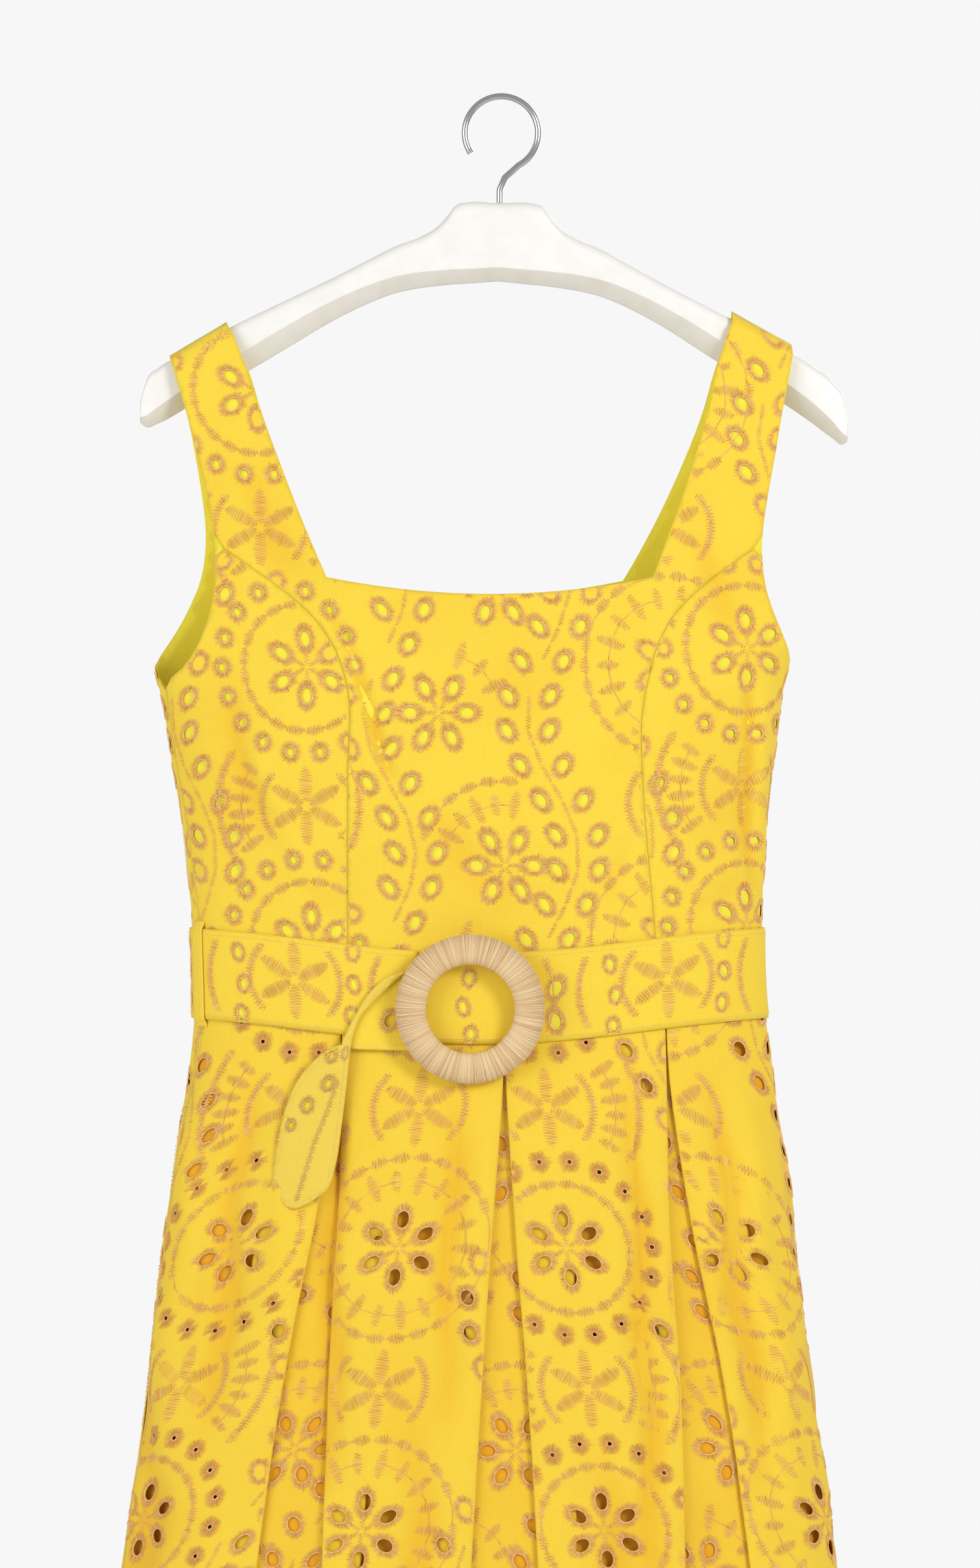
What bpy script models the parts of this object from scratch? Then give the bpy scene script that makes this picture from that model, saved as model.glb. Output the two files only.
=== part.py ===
"""An embroidered sundress with a square neck, hung on a contoured hanger.

The dress is cut as its maker cuts it: a centre front with its straps, two side fronts, a back,
a skirt with inverted pleats, linings, and a belt with a wound ring and a hanging tail.
Every cloth piece is drawn flat, as p across the cloth and z down it, cut with its eyelets,
and then laid on the garment's own form, a ring for each height.
Metres, +Z up. The origin is the inside top of the hanger's hook. The front faces -Y.
"""

import math

import bmesh
import bpy
import numpy as np
from mathutils import Vector
from mathutils.geometry import delaunay_2d_cdt

# Cloth
CLOTH = 0.0010
SEAM = 0.00025
OUTER = 0.0005
LINING = 0.0028
BELT_CLOTH = 0.0014
TAIL_CLOTH = 0.0012

# Bodice and skirt heights, below the hook
UNDERARM = -0.3469
NECK_CORNER = -0.2867
NECK_CENTRE = -0.2968
WAIST = -0.5215
WAIST_DIP = 0.0138
HEM = -1.310
LINING_HEM = -1.236
BODICE_LOW = -0.505
BODICE_ROWS = (-0.170, -0.508, 12)
UNDERARM_STEP = 0.008
UNDERARM_CLEAR = 0.0012

# Belt, its ring and its loops
BELT_HALF = 0.0268
BELT_OUT = -0.0016
BELT_SLIT = 0.0008
BELT_EVERY = 6
RING_X = -0.0185
RING_Z = -0.5410
RING_RADIUS = 0.0350
RING_HALF_BAND = 0.0090
RING_HALF_DEPTH = 0.0054
RING_AIR = 0.0018
LOOP_HALF = 0.0045

# Inverted pleats
LAYER = 0.0021
LINING_AIR = 0.0008
UNDERLAY_HALF = 0.042
PLEAT_CLOSED = 0.0017

# Hanger and hook
TILT = math.radians(1.0)
HANGER_HALF = 0.0065
TIP_START = 0.190
TIP_THINNING = 0.45
STRAP_ROUND = 0.0118
STRAP_OVER_HANGER = 0.0045
STRAP_END = 0.0007
STRAP_TOP_GUESS = -0.14
NECK_STRAP_TOP = -0.1334
ARM_STRAP_TOP = -0.1530
HOOK_INSIDE = 0.020
HOOK_WIRE = 0.0019
HOOK_SEAT = 0.0004
HOOK_STEM = 0.008
HOOK_BEND = (0.0020, 1.22)

# The garment's form: a ring at each height, with front and back depths of its own.
# shift is how far the cloth has turned round the form, to the right on the front.
FORM_COLUMNS = ("z", "centre", "half", "front", "back", "squareness", "shift")
FORM = (
    (-0.100, -0.0143, 0.240, 0.0115, 0.0115, 4.0, 0.0005),
    (-0.134, -0.0143, 0.240, 0.0116, 0.0116, 4.0, 0.0010),
    (-0.187, -0.0143, 0.236, 0.0170, 0.0150, 3.6, 0.0040),
    (-0.224, -0.0143, 0.230, 0.0235, 0.0190, 3.3, 0.0055),
    (-0.287, -0.0150, 0.213, 0.0350, 0.0260, 2.9, 0.0080),
    (-0.347, -0.0178, 0.1877, 0.0450, 0.0320, 2.5, 0.0150),
    (-0.388, -0.0173, 0.1812, 0.0480, 0.0350, 2.4, 0.0134),
    (-0.439, -0.0159, 0.1743, 0.0470, 0.0360, 2.3, 0.0132),
    (-0.494, -0.0145, 0.1701, 0.0440, 0.0370, 2.3, 0.0143),
    (-0.549, -0.0129, 0.1708, 0.0450, 0.0390, 2.3, 0.0143),
    (-0.591, -0.0122, 0.1766, 0.0500, 0.0430, 2.3, 0.0138),
    (-0.635, -0.0129, 0.1842, 0.0550, 0.0470, 2.3, 0.0143),
    (-0.699, -0.0134, 0.1925, 0.0610, 0.0520, 2.3, 0.0146),
    (-0.749, -0.0127, 0.1987, 0.0650, 0.0560, 2.3, 0.0143),
    (-0.900, -0.0127, 0.2202, 0.0760, 0.0660, 2.3, 0.0143),
    (-1.100, -0.0127, 0.2487, 0.0870, 0.0770, 2.3, 0.0143),
    (-1.330, -0.0127, 0.2815, 0.0960, 0.0860, 2.3, 0.0143),
)

# Half widths of the pattern's edges, each measured across the front from its centre line.
NECK_EDGE = (
    (NECK_STRAP_TOP, 0.1509),
    (-0.1620, 0.1396),
    (-0.1870, 0.1327),
    (-0.2243, 0.1205),
    (-0.2430, 0.1138),
    (-0.2867, 0.0965),
)
ARMHOLE = (
    (ARM_STRAP_TOP, 0.1858),
    (-0.1874, 0.1773),
    (-0.2151, 0.1713),
    (-0.2335, 0.1673),
    (-0.2659, 0.1623),
    (-0.2982, 0.1646),
    (-0.3307, 0.1775),
    (-0.3469, 0.1877),
)
PRINCESS = (
    (-0.2659, 0.1623),
    (-0.2867, 0.1327),
    (-0.3065, 0.1094),
    (-0.3270, 0.0958),
    (-0.3500, 0.0886),
    (-0.4090, 0.0870),
    (-0.4550, 0.0889),
    (-0.4967, 0.0907),
    (-0.5400, 0.0920),
)

# How far each pleat gapes, and where the side ones stand, by height.
PLEAT_COLUMNS = ("z", "gape", "side_place")
PLEATS = (
    (-0.500, PLEAT_CLOSED, 0.0955),
    (-0.579, PLEAT_CLOSED, 0.0970),
    (-0.660, 0.0120, 0.1040),
    (-0.749, 0.0250, 0.1160),
    (-0.900, 0.0430, 0.1290),
    (-1.100, 0.0620, 0.1460),
    (-1.330, 0.0740, 0.1640),
)

# Hanger arm, from the hub's middle to the tip: top, ridge above the lower bevel, and bottom.
HANGER_COLUMNS = ("out", "top", "bevel", "bottom")
HANGER = (
    (0.000, -0.0620, 0.0075, -0.1083),
    (0.020, -0.0620, 0.0078, -0.1100),
    (0.0265, -0.0640, 0.0080, -0.1105),
    (0.031, -0.0700, 0.0080, -0.1110),
    (0.037, -0.0768, 0.0082, -0.1117),
    (0.046, -0.0825, 0.0085, -0.1130),
    (0.061, -0.0885, 0.0090, -0.1163),
    (0.080, -0.0985, 0.0100, -0.1240),
    (0.100, -0.1090, 0.0112, -0.1345),
    (0.125, -0.1215, 0.0125, -0.1500),
    (0.150, -0.1340, 0.0125, -0.1655),
    (0.175, -0.1475, 0.0120, -0.1805),
    (0.190, -0.1570, 0.0110, -0.1905),
    (0.201, -0.1655, 0.0090, -0.1985),
    (0.2075, -0.1760, 0.0060, -0.2025),
    (0.2100, -0.1880, 0.0030, -0.2010),
)

# The belt's tail below its fold, beside the ring's middle: its two edges, row by row,
# how far the row bows up and left, and how far its cloth stands off the garment.
TAIL_COLUMNS = ("right_x", "right_z", "left_x", "left_z", "bow", "stand")
TAIL = (
    (-0.0440, 0.0185, -0.0752, -0.0208, 0.0060, 0.0052),
    (-0.0500, 0.0105, -0.0808, -0.0254, 0.0045, 0.0052),
    (-0.0570, 0.0025, -0.0870, -0.0320, 0.0030, 0.0052),
    (-0.0642, -0.0051, -0.0946, -0.0411, 0.0010, 0.0052),
    (-0.0683, -0.0152, -0.1029, -0.0526, 0.0000, 0.0047),
    (-0.0720, -0.0295, -0.1080, -0.0628, 0.0000, 0.0043),
    (-0.0743, -0.0503, -0.1126, -0.0743, 0.0000, 0.0036),
    (-0.0766, -0.0757, -0.1154, -0.0895, 0.0000, 0.0026),
    (-0.0803, -0.1034, -0.1172, -0.1048, 0.0000, 0.0018),
    (-0.0940, -0.1160, -0.1110, -0.1168, 0.0000, 0.0018),
)
TAIL_ROOT_X = -0.0290
TAIL_TOP = 0.0215
TAIL_BOTTOM = -0.0208
TAIL_STAND = 0.0032

# A belt carrier, from its sewn end to the belt: above the belt's edge, and out from the garment.
CARRIER_COLUMNS = ("up", "out")
CARRIER = ((0.0045, 0.0008), (0.0020, 0.0010), (0.0006, 0.0028), (-0.0010, 0.0034))

# Embroidery repeat: a medallion, a sun, free flowers and leafy stems.
# Each hole is its half width and half length, with the room that its stitches take.
REPEAT_WIDTH = 0.480
REPEAT_HEIGHT = 0.164
MEDALLIONS = (0.0, 0.240)
FREE_FLOWERS = ((0.101, -0.028), (0.139, -0.118))
SPRAYS = ((0.072, -0.008), (0.168, -0.018))
SPRAY_LEAVES = 8
SPRAY_SWAY = 0.015
SPRAY_LOW = -0.028
LEAF_OUT = 0.0125
LEAF_LEAN = math.radians(38)
PETAL_RADIUS = 0.0177
CIRCLE_RADIUS = 0.051
CIRCLE_EYELETS = 18
HOLE_COLUMNS = ("half_width", "half_length", "room")
PETAL = (0.0032, 0.0048, 0.00815)
LEAF = (0.0037, 0.0050, 0.0081)
ROUND = (0.0030, 0.0030, 0.0067)
CROWDING = 0.86
HOLE_SIDES = 6
HOLE_MARGIN = 0.0045
HOLE_REACH = 0.02
EDGE_ROOM = 0.004
COLUMN_ROOM = 0.0012
EYELETS_FROM_SIDE = 0.058

# Where a medallion's middle lies on each piece, across and down.
BODICE_REPEAT = (-0.135, -0.339)
SIDE_REPEATS = {"left": (-0.112, -0.340), "right": (0.150, -0.329)}
BACK_REPEAT = (-0.120, -0.345)
SKIRT_REPEAT = (0.1075, -0.681)
SKIRT_BACK_REPEAT = (0.1075, -0.690)

YELLOW = (0.890, 0.640, 0.024)
LEMON = (0.900, 0.760, 0.042)
PALE_YELLOW = (0.860, 0.640, 0.085)
STRAW = (0.700, 0.500, 0.270)
WHITE = (0.900, 0.880, 0.840)
STEEL = (0.620, 0.620, 0.610)


def clear_scene():
    for obj in list(bpy.data.objects):
        bpy.data.objects.remove(obj, do_unlink=True)


def smooth(table, value):
    """Each column of a table whose first column is a height, read smoothly at one height."""
    rows = np.array(sorted(table))
    heights = rows[:, 0]
    value = min(max(value, heights[0]), heights[-1])
    at = min(int(np.searchsorted(heights, value, side="right")) - 1, len(rows) - 2)
    slopes = np.gradient(rows[:, 1:], heights, axis=0)
    step = heights[at + 1] - heights[at]
    t = (value - heights[at]) / step
    start, end = rows[at, 1:], rows[at + 1, 1:]
    return (
        (2 * t**3 - 3 * t**2 + 1) * start
        + (t**3 - 2 * t**2 + t) * step * slopes[at]
        + (3 * t**2 - 2 * t**3) * end
        + (t**3 - t**2) * step * slopes[at + 1]
    )


def hanger_point(out, height):
    """A point of the hanger, which hangs a little lower on the right."""
    return (
        out * math.cos(TILT) + height * math.sin(TILT),
        height * math.cos(TILT) - out * math.sin(TILT),
    )


def hanger_top_line():
    rows = [(-out, top) for out, top, _, _ in reversed(HANGER[1:])]
    rows += [(out, top) for out, top, _, _ in HANGER]
    return np.array([hanger_point(out, top) for out, top in rows])


HANGER_TOP = hanger_top_line()


def strap_top(x):
    return float(np.interp(x, HANGER_TOP[:, 0], HANGER_TOP[:, 1])) + STRAP_OVER_HANGER


class Ring:
    """Half of the garment's outline at one height, from front centre round to back centre."""

    SAMPLES = 80

    def __init__(self, z):
        self.centre, half, front, back, square, self.shift = smooth(FORM, z)
        turn = np.linspace(0, np.pi / 2, self.SAMPLES)
        reach = (np.sin(turn) ** square + np.cos(turn) ** square) ** (-1 / square)
        x = half * reach * np.sin(turn)
        depth = reach * np.cos(turn)
        self.x = np.concatenate([x, x[-2::-1]])
        self.y = np.concatenate([-front * depth, back * depth[-2::-1]])
        steps = np.hypot(np.diff(self.x), np.diff(self.y))
        self.s = np.concatenate([[0.0], np.cumsum(steps)])
        self.front = float(self.s[self.SAMPLES - 1])
        self.whole = float(self.s[-1])
        self.tx = np.gradient(self.x, self.s)
        self.ty = np.gradient(self.y, self.s)

    def arc(self, x):
        """How far round the front a point stands that lies x from its centre."""
        reach = min(abs(x), float(self.x[self.SAMPLES - 1]))
        arc = np.interp(reach, self.x[: self.SAMPLES], self.s[: self.SAMPLES])
        return math.copysign(float(arc), x)


RINGS = {}


def ring(z):
    key = round(z, 5)
    if key not in RINGS:
        RINGS[key] = Ring(key)
    return RINGS[key]


def on_form(p, z, inset):
    """The place of a cloth point p round the garment from its front centre, inset into it."""
    at = ring(z)
    s = p + at.shift
    side = 1.0
    s = (s + at.whole) % (2 * at.whole) - at.whole
    if s < 0:
        side, s = -1.0, -s
    x, y = np.interp(s, at.s, at.x), np.interp(s, at.s, at.y)
    tx, ty = np.interp(s, at.s, at.tx), np.interp(s, at.s, at.ty)
    long = math.hypot(tx, ty)
    x = at.centre + side * (x - inset * ty / long)
    y = y + inset * tx / long
    below = strap_top(x) - inset - z
    radius = STRAP_ROUND - inset
    if z > UNDERARM and below < radius:
        y *= math.sqrt(max(1 - (1 - max(below, 0.0) / radius) ** 2, 0.0))
    return Vector((x, y, z))


def edge_arc(table, z):
    return ring(z).arc(float(smooth(table, z)[0]))


def waist(p, z=WAIST):
    """The height of the waist seam, which dips at the front centre."""
    at = ring(z)
    reach = min(abs(p + at.shift) / at.front, 1.0)
    return WAIST - WAIST_DIP * math.cos(reach * math.pi / 2) ** 2


def heights(start, end, count):
    return [start + (end - start) * i / count for i in range(count + 1)]


def strap_height(p, turn):
    """The height of a point on the strap's round top, turn degrees from the very top."""
    z = STRAP_TOP_GUESS
    for _ in range(4):
        x = on_form(p, z, OUTER).x
        z = strap_top(x) - STRAP_ROUND * (1 - math.cos(math.radians(turn)))
    return z


STRAP_TURNS = (math.degrees(math.asin(STRAP_END / STRAP_ROUND)), 22, 45, 68, 90)


def strap_edge(side, table, start, end, count):
    """Points along a strap's edge, from its top down."""
    points = []
    inner = side * edge_arc(table, start)
    top = strap_height(inner, STRAP_TURNS[0])
    for turn in STRAP_TURNS:
        points.append((inner, strap_height(inner, turn)))
    for z in heights(top - 2 * STRAP_ROUND, end, count):
        points.append((side * edge_arc(table, z), z))
    return points


def princess_heights():
    start = PRINCESS[0][0]
    return heights(start - 0.004, -0.350, 6) + heights(-0.38, -0.505, 4)


def front_outline(side_edge):
    """One half of the front's outline, from the neck's centre round to the waist's."""
    neck = [(0.0, NECK_CENTRE)]
    corner = edge_arc(NECK_EDGE, NECK_CORNER)
    for part in (0.35, 0.7):
        drop = (NECK_CENTRE - NECK_CORNER) * (1 - part**2)
        neck.append((corner * part, NECK_CORNER + drop))
    outline = []
    for side in (1, -1):
        half = list(neck) if side > 0 else list(neck[1:])
        half = [(side * p, z) for p, z in half]
        half += reversed(strap_edge(side, NECK_EDGE, NECK_STRAP_TOP, NECK_CORNER, 6))
        half += side_edge(side)
        outline.append(half)
    return outline[0] + outline[1][::-1]


def centre_side(side):
    """Armhole down to the princess seam, and the seam down to the waist."""
    start = PRINCESS[0][0]
    points = strap_edge(side, ARMHOLE, ARM_STRAP_TOP, start + 0.004, 4)
    for z in princess_heights():
        points.append((side * (edge_arc(PRINCESS, z) - SEAM), z))
    end = side * (edge_arc(PRINCESS, WAIST) - SEAM)
    points.append((end, waist(end) + SEAM))
    for part in (0.66, 0.33, 0.0) if side > 0 else (0.66, 0.33):
        points.append((end * part, waist(end * part) + SEAM))
    return points


def whole_side(side):
    """Armhole down to the side seam, and the side down to the waist."""
    points = strap_edge(side, ARMHOLE, ARM_STRAP_TOP, UNDERARM + UNDERARM_CLEAR, 9)
    for z in heights(UNDERARM - UNDERARM_STEP, BODICE_LOW, 6):
        points.append((side * (ring(z).front - SEAM), z))
    end = side * (ring(WAIST).front - SEAM)
    points.append((end, waist(end) + SEAM))
    parts = (0.97, 0.94, 0.9, 0.86, 0.79, 0.7, 0.58, 0.4, 0.2, 0.0)
    for part in parts if side > 0 else parts[:-1]:
        points.append((end * part, waist(end * part) + SEAM))
    return points


def side_front_outline(side):
    """A side front: armhole, side seam, waist and princess seam."""
    points = []
    for z in heights(PRINCESS[0][0] - UNDERARM_STEP, UNDERARM + UNDERARM_CLEAR, 5):
        points.append((side * edge_arc(ARMHOLE, z), z))
    for z in heights(UNDERARM - UNDERARM_STEP, BODICE_LOW, 6):
        points.append((side * (ring(z).front - SEAM), z))
    outer = ring(WAIST).front - SEAM
    inner = edge_arc(PRINCESS, WAIST) + SEAM
    for part in (1.0, 0.95, 0.88, 0.81, 0.74, 0.62, 0.4, 0.2, 0.0):
        p = side * (inner + (outer - inner) * part)
        points.append((p, waist(p) + SEAM))
    for z in reversed(princess_heights()):
        points.append((side * (edge_arc(PRINCESS, z) + SEAM), z))
    return points


def back_place(p, z, inset):
    """The back is drawn from its own centre, and lies half way round from the front's."""
    at = ring(z)
    scale = (at.whole - at.front) / at.front
    return on_form(at.whole - p * scale, z, inset)


def across_borders(x, z):
    """The shortest way between two places of the repeat."""
    x = (x + REPEAT_WIDTH / 2) % REPEAT_WIDTH - REPEAT_WIDTH / 2
    z = (z + REPEAT_HEIGHT / 2) % REPEAT_HEIGHT - REPEAT_HEIGHT / 2
    return math.hypot(x, z)


def eyelets(with_round):
    """Every hole of one repeat as centre, half width, half length and angle, the largest first."""
    holes = []

    def add(x, z, hole, angle=0.0):
        for other in holes:
            if across_borders(x - other[0], z - other[1]) <= CROWDING * (hole[2] + other[2][2]):
                return
        holes.append((x, z, hole, angle))

    def flower(x, z, turn):
        for petal in range(6):
            angle = math.radians(60 * petal + turn)
            add(x + PETAL_RADIUS * math.sin(angle), z + PETAL_RADIUS * math.cos(angle), PETAL, angle)

    for start in MEDALLIONS:
        for column, row in FREE_FLOWERS:
            flower(start + column, row, 30)
        flower(start, 0.0, 0)
    for eyelet in range(CIRCLE_EYELETS):
        angle = math.tau * (eyelet + 0.5) / CIRCLE_EYELETS
        add(CIRCLE_RADIUS * math.sin(angle), CIRCLE_RADIUS * math.cos(angle), ROUND)
    for start in MEDALLIONS:
        for base, first in SPRAYS:
            for leaf in range(SPRAY_LEAVES):
                z = first - leaf * REPEAT_HEIGHT / SPRAY_LEAVES
                sway = SPRAY_SWAY * math.cos(math.tau * (z - SPRAY_LOW) / REPEAT_HEIGHT)
                for hand in (-1, 1):
                    add(start + base - sway + hand * LEAF_OUT, z, LEAF, LEAF_LEAN * hand)
    kept = [hole for hole in holes if with_round or hole[2] is not ROUND]
    kept.sort(key=lambda hole: -hole[2][0] * hole[2][1])
    return [(x, z, hole[0], hole[1], angle) for x, z, hole, angle in kept]


def inside(point, outline):
    """Even-odd rule."""
    x, z = point
    within = False
    for (ax, az), (bx, bz) in zip(outline, outline[1:] + outline[:1]):
        if (az > z) != (bz > z) and x < ax + (z - az) * (bx - ax) / (bz - az):
            within = not within
    return within


def distance_to(point, outline):
    """The shortest way from a point to a closed outline."""
    here = np.array(point)
    starts = np.array(outline)
    ends = np.roll(starts, -1, axis=0)
    along = ends - starts
    length = np.maximum((along**2).sum(axis=1), 1e-12)
    t = np.clip(((here - starts) * along).sum(axis=1) / length, 0, 1)
    return float(np.hypot(*(starts + along * t[:, None] - here).T).min())


def hole_outline(x, z, half_width, half_length, angle):
    """A six-sided hole with the area of the oval eyelet."""
    swell = math.sqrt(math.pi / (HOLE_SIDES / 2 * math.sin(math.tau / HOLE_SIDES)))
    points = []
    for corner in range(HOLE_SIDES):
        turn = math.tau * corner / HOLE_SIDES
        across = half_width * swell * math.sin(turn)
        along = half_length * swell * math.cos(turn)
        points.append(
            (
                x + across * math.cos(angle) + along * math.sin(angle),
                z - across * math.sin(angle) + along * math.cos(angle),
            )
        )
    return points


def bodice_reach(z):
    return ring(z).front


def holes_within(outline, origin, most, reach=bodice_reach, clear_of=None, with_round=True):
    """At most so many eyelets that lie whole on a piece, clear of its sides."""
    edge = np.array(outline)
    low, high = edge.min(axis=0), edge.max(axis=0)
    found = []
    for x, z, half_width, half_length, angle in eyelets(with_round):
        first = math.floor((low[0] - origin[0] - x) / REPEAT_WIDTH)
        last = math.ceil((high[0] - origin[0] - x) / REPEAT_WIDTH)
        top = math.ceil((high[1] - origin[1] - z) / REPEAT_HEIGHT)
        bottom = math.floor((low[1] - origin[1] - z) / REPEAT_HEIGHT)
        for column in range(first, last + 1):
            for row in range(bottom, top + 1):
                centre = (
                    origin[0] + x + column * REPEAT_WIDTH,
                    origin[1] + z + row * REPEAT_HEIGHT,
                )
                room = half_length + HOLE_MARGIN
                if not inside(centre, outline) or distance_to(centre, outline) < room:
                    continue
                if abs(centre[0]) > reach(centre[1]) - EYELETS_FROM_SIDE:
                    continue
                if clear_of and not clear_of(centre, room):
                    continue
                found.append(hole_outline(*centre, half_width, half_length, angle))
    return found[:most]


def cut_sheet(outline, inner_points, holes, folds=()):
    """Flat triangles of an outline with its eyelets left out, through the given points."""
    points = [Vector(point) for point in outline]
    edges = [(i, (i + 1) % len(points)) for i in range(len(points))]
    for hole in holes:
        first = len(points)
        points += [Vector(point) for point in hole]
        edges += [
            (first + i, first + (i + 1) % len(hole)) for i in range(len(hole))
        ]
    for fold in folds:
        first = len(points)
        points += [Vector(point) for point in fold]
        edges += [(first + i, first + i + 1) for i in range(len(fold) - 1)]
    points += [Vector(point) for point in inner_points]
    found = delaunay_2d_cdt(points, edges, [], 0, 1e-6)
    flat, triangles = found[0], found[2]
    kept = []
    for triangle in triangles:
        centre = sum((flat[i] for i in triangle), Vector((0, 0))) / 3
        if not inside(centre, outline):
            continue
        near = [hole for hole in holes if (centre - Vector(hole[0])).length < HOLE_REACH]
        if any(inside(centre, hole) for hole in near):
            continue
        kept.append(tuple(triangle))
    return [tuple(point) for point in flat], kept


def material(name, colour, roughness, metallic=0.0):
    made = bpy.data.materials.new(name)
    made.use_nodes = True
    shader = made.node_tree.nodes["Principled BSDF"]
    shader.inputs["Base Color"].default_value = (*colour, 1.0)
    shader.inputs["Roughness"].default_value = roughness
    shader.inputs["Metallic"].default_value = metallic
    made.diffuse_color = (*colour, 1.0)
    return made


def piece(name, vertices, faces, look, collection):
    """A mesh object of its own, shaded smooth, in the garment's collection."""
    mesh = bpy.data.meshes.new(name)
    mesh.from_pydata([tuple(vertex) for vertex in vertices], [], faces)
    shape = bmesh.new()
    shape.from_mesh(mesh)
    loose = [vertex for vertex in shape.verts if not vertex.link_faces]
    bmesh.ops.delete(shape, geom=loose, context="VERTS")
    shape.to_mesh(mesh)
    shape.free()
    mesh.shade_smooth()
    obj = bpy.data.objects.new(name, mesh)
    obj.data.materials.append(look)
    collection.objects.link(obj)
    return obj


def thicken(obj, thickness):
    """Gives a sheet of cloth its wall, half to each side."""
    wall = obj.modifiers.new("Cloth", "SOLIDIFY")
    wall.thickness = thickness
    wall.offset = 0.0
    wall.use_even_offset = True
    wall.use_quality_normals = True
    return obj


def grid_inside(outline, rows, parts, edge_room, holes):
    """Points across a piece, closer together where the form turns round at its sides."""
    found = []
    for z in rows:
        width = ring(z).front
        for part in parts:
            for side in (-1, 1) if part else (1,):
                point = (side * part * width, z)
                if not inside(point, outline):
                    continue
                if distance_to(point, outline) < edge_room:
                    continue
                if any(distance_to(point, hole) < HOLE_MARGIN for hole in holes):
                    continue
                if any(inside(point, hole) for hole in holes):
                    continue
                found.append(point)
    return found


ACROSS = (0.0, 0.2, 0.4, 0.58, 0.70, 0.79, 0.86, 0.90, 0.94, 0.97)


def strap_points(sides):
    """Points across the strap's round top, so that it turns smoothly over the hanger."""
    found = []
    for side in sides:
        inner = edge_arc(NECK_EDGE, NECK_STRAP_TOP)
        outer = edge_arc(ARMHOLE, ARM_STRAP_TOP)
        for part in (0.25, 0.5, 0.75, 0.88):
            p = side * (inner + (outer - inner) * part)
            for turn in STRAP_TURNS:
                found.append((p, strap_height(p, turn)))
    return found


def bodice_piece(name, outline, place, look, collection, inset, holes=(), straps=()):
    inner = grid_inside(outline, heights(*BODICE_ROWS), ACROSS, EDGE_ROOM, holes)
    tops = [
        point
        for point in strap_points(straps)
        if inside(point, outline) and distance_to(point, outline) > 0.0002
    ]
    flat, triangles = cut_sheet(outline, inner + tops, holes)
    points = [place(p, z - inset_drop(z, inset), inset) for p, z in flat]
    obj = piece(name, points, triangles, look, collection)
    face_out(obj)
    return thicken(obj, CLOTH)


def inset_drop(z, inset):
    """A lining lies lower than the outer cloth over the hanger, and level with it elsewhere."""
    part = min(max((z + 0.20) / 0.04, 0.0), 1.0)
    return inset * part


def face_out(obj):
    """Turns the sheet's faces away from the garment's inside."""
    mesh = obj.data
    shape = bmesh.new()
    shape.from_mesh(mesh)
    bmesh.ops.recalc_face_normals(shape, faces=shape.faces)
    outward = 0.0
    for face in shape.faces:
        middle = face.calc_center_median()
        outward += face.normal.y * middle.y * face.calc_area()
    if outward < 0:
        bmesh.ops.reverse_faces(shape, faces=shape.faces)
    shape.to_mesh(mesh)
    shape.free()


class PleatSection:
    """The cut across a skirt at one height: pattern length w, arc p and inset of each corner."""

    def __init__(self, z, width, inset):
        gape, side_place = smooth(PLEATS, z)
        self.keys = []
        self.bends = []
        under = inset + 2 * LAYER
        middle = inset + LAYER
        tuck = UNDERLAY_HALF
        self.add(0.0, under)
        self.add(tuck * 0.5, under)
        self.turn(tuck, under, middle, 1)
        self.turn(gape / 2, middle, inset, -1)
        near, far = side_place - gape / 2, side_place + gape / 2
        self.add(gape / 2 + (near - gape / 2) * 0.35, inset)
        self.add(gape / 2 + (near - gape / 2) * 0.68, inset)
        self.turn(near, inset, middle, 1)
        self.add((near + side_place - tuck) / 2, middle)
        self.turn(side_place - tuck, middle, under, -1)
        for part in (-0.5, 0.0, 0.5):
            self.add(side_place + part * tuck, under)
        self.turn(side_place + tuck, under, middle, 1)
        self.add((far + side_place + tuck) / 2, middle)
        self.turn(far, middle, inset, -1)
        for part in (0.3, 0.55, 0.70, 0.77, 0.83, 0.89, 0.95):
            self.add(far + (width - far) * part, inset)
        self.add(width - SEAM, inset)
        place = np.array(self.keys)
        steps = np.hypot(np.diff(place[:, 0]), np.diff(place[:, 1]))
        self.w = np.concatenate([[0.0], np.cumsum(steps)])
        self.p, self.inset = place[:, 0], place[:, 1]

    def add(self, p, inset):
        self.keys.append((p, inset))

    def turn(self, p, start, end, way):
        """A fold whose outermost point is p, from one layer to the next."""
        radius = LAYER / 2
        self.bends.append(len(self.keys) + 1)
        self.add(p - way * radius, start)
        self.add(p, (start + end) / 2)
        self.add(p - way * radius, end)

    def at(self, w):
        side = math.copysign(1.0, w)
        return side * np.interp(abs(w), self.w, self.p), np.interp(abs(w), self.w, self.inset)


SKIRT_ROWS = (-0.579, -0.620, -0.680, -0.755, -0.880, -1.040, HEM)
LINING_ROWS = (*SKIRT_ROWS[:-1], LINING_HEM)


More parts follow.
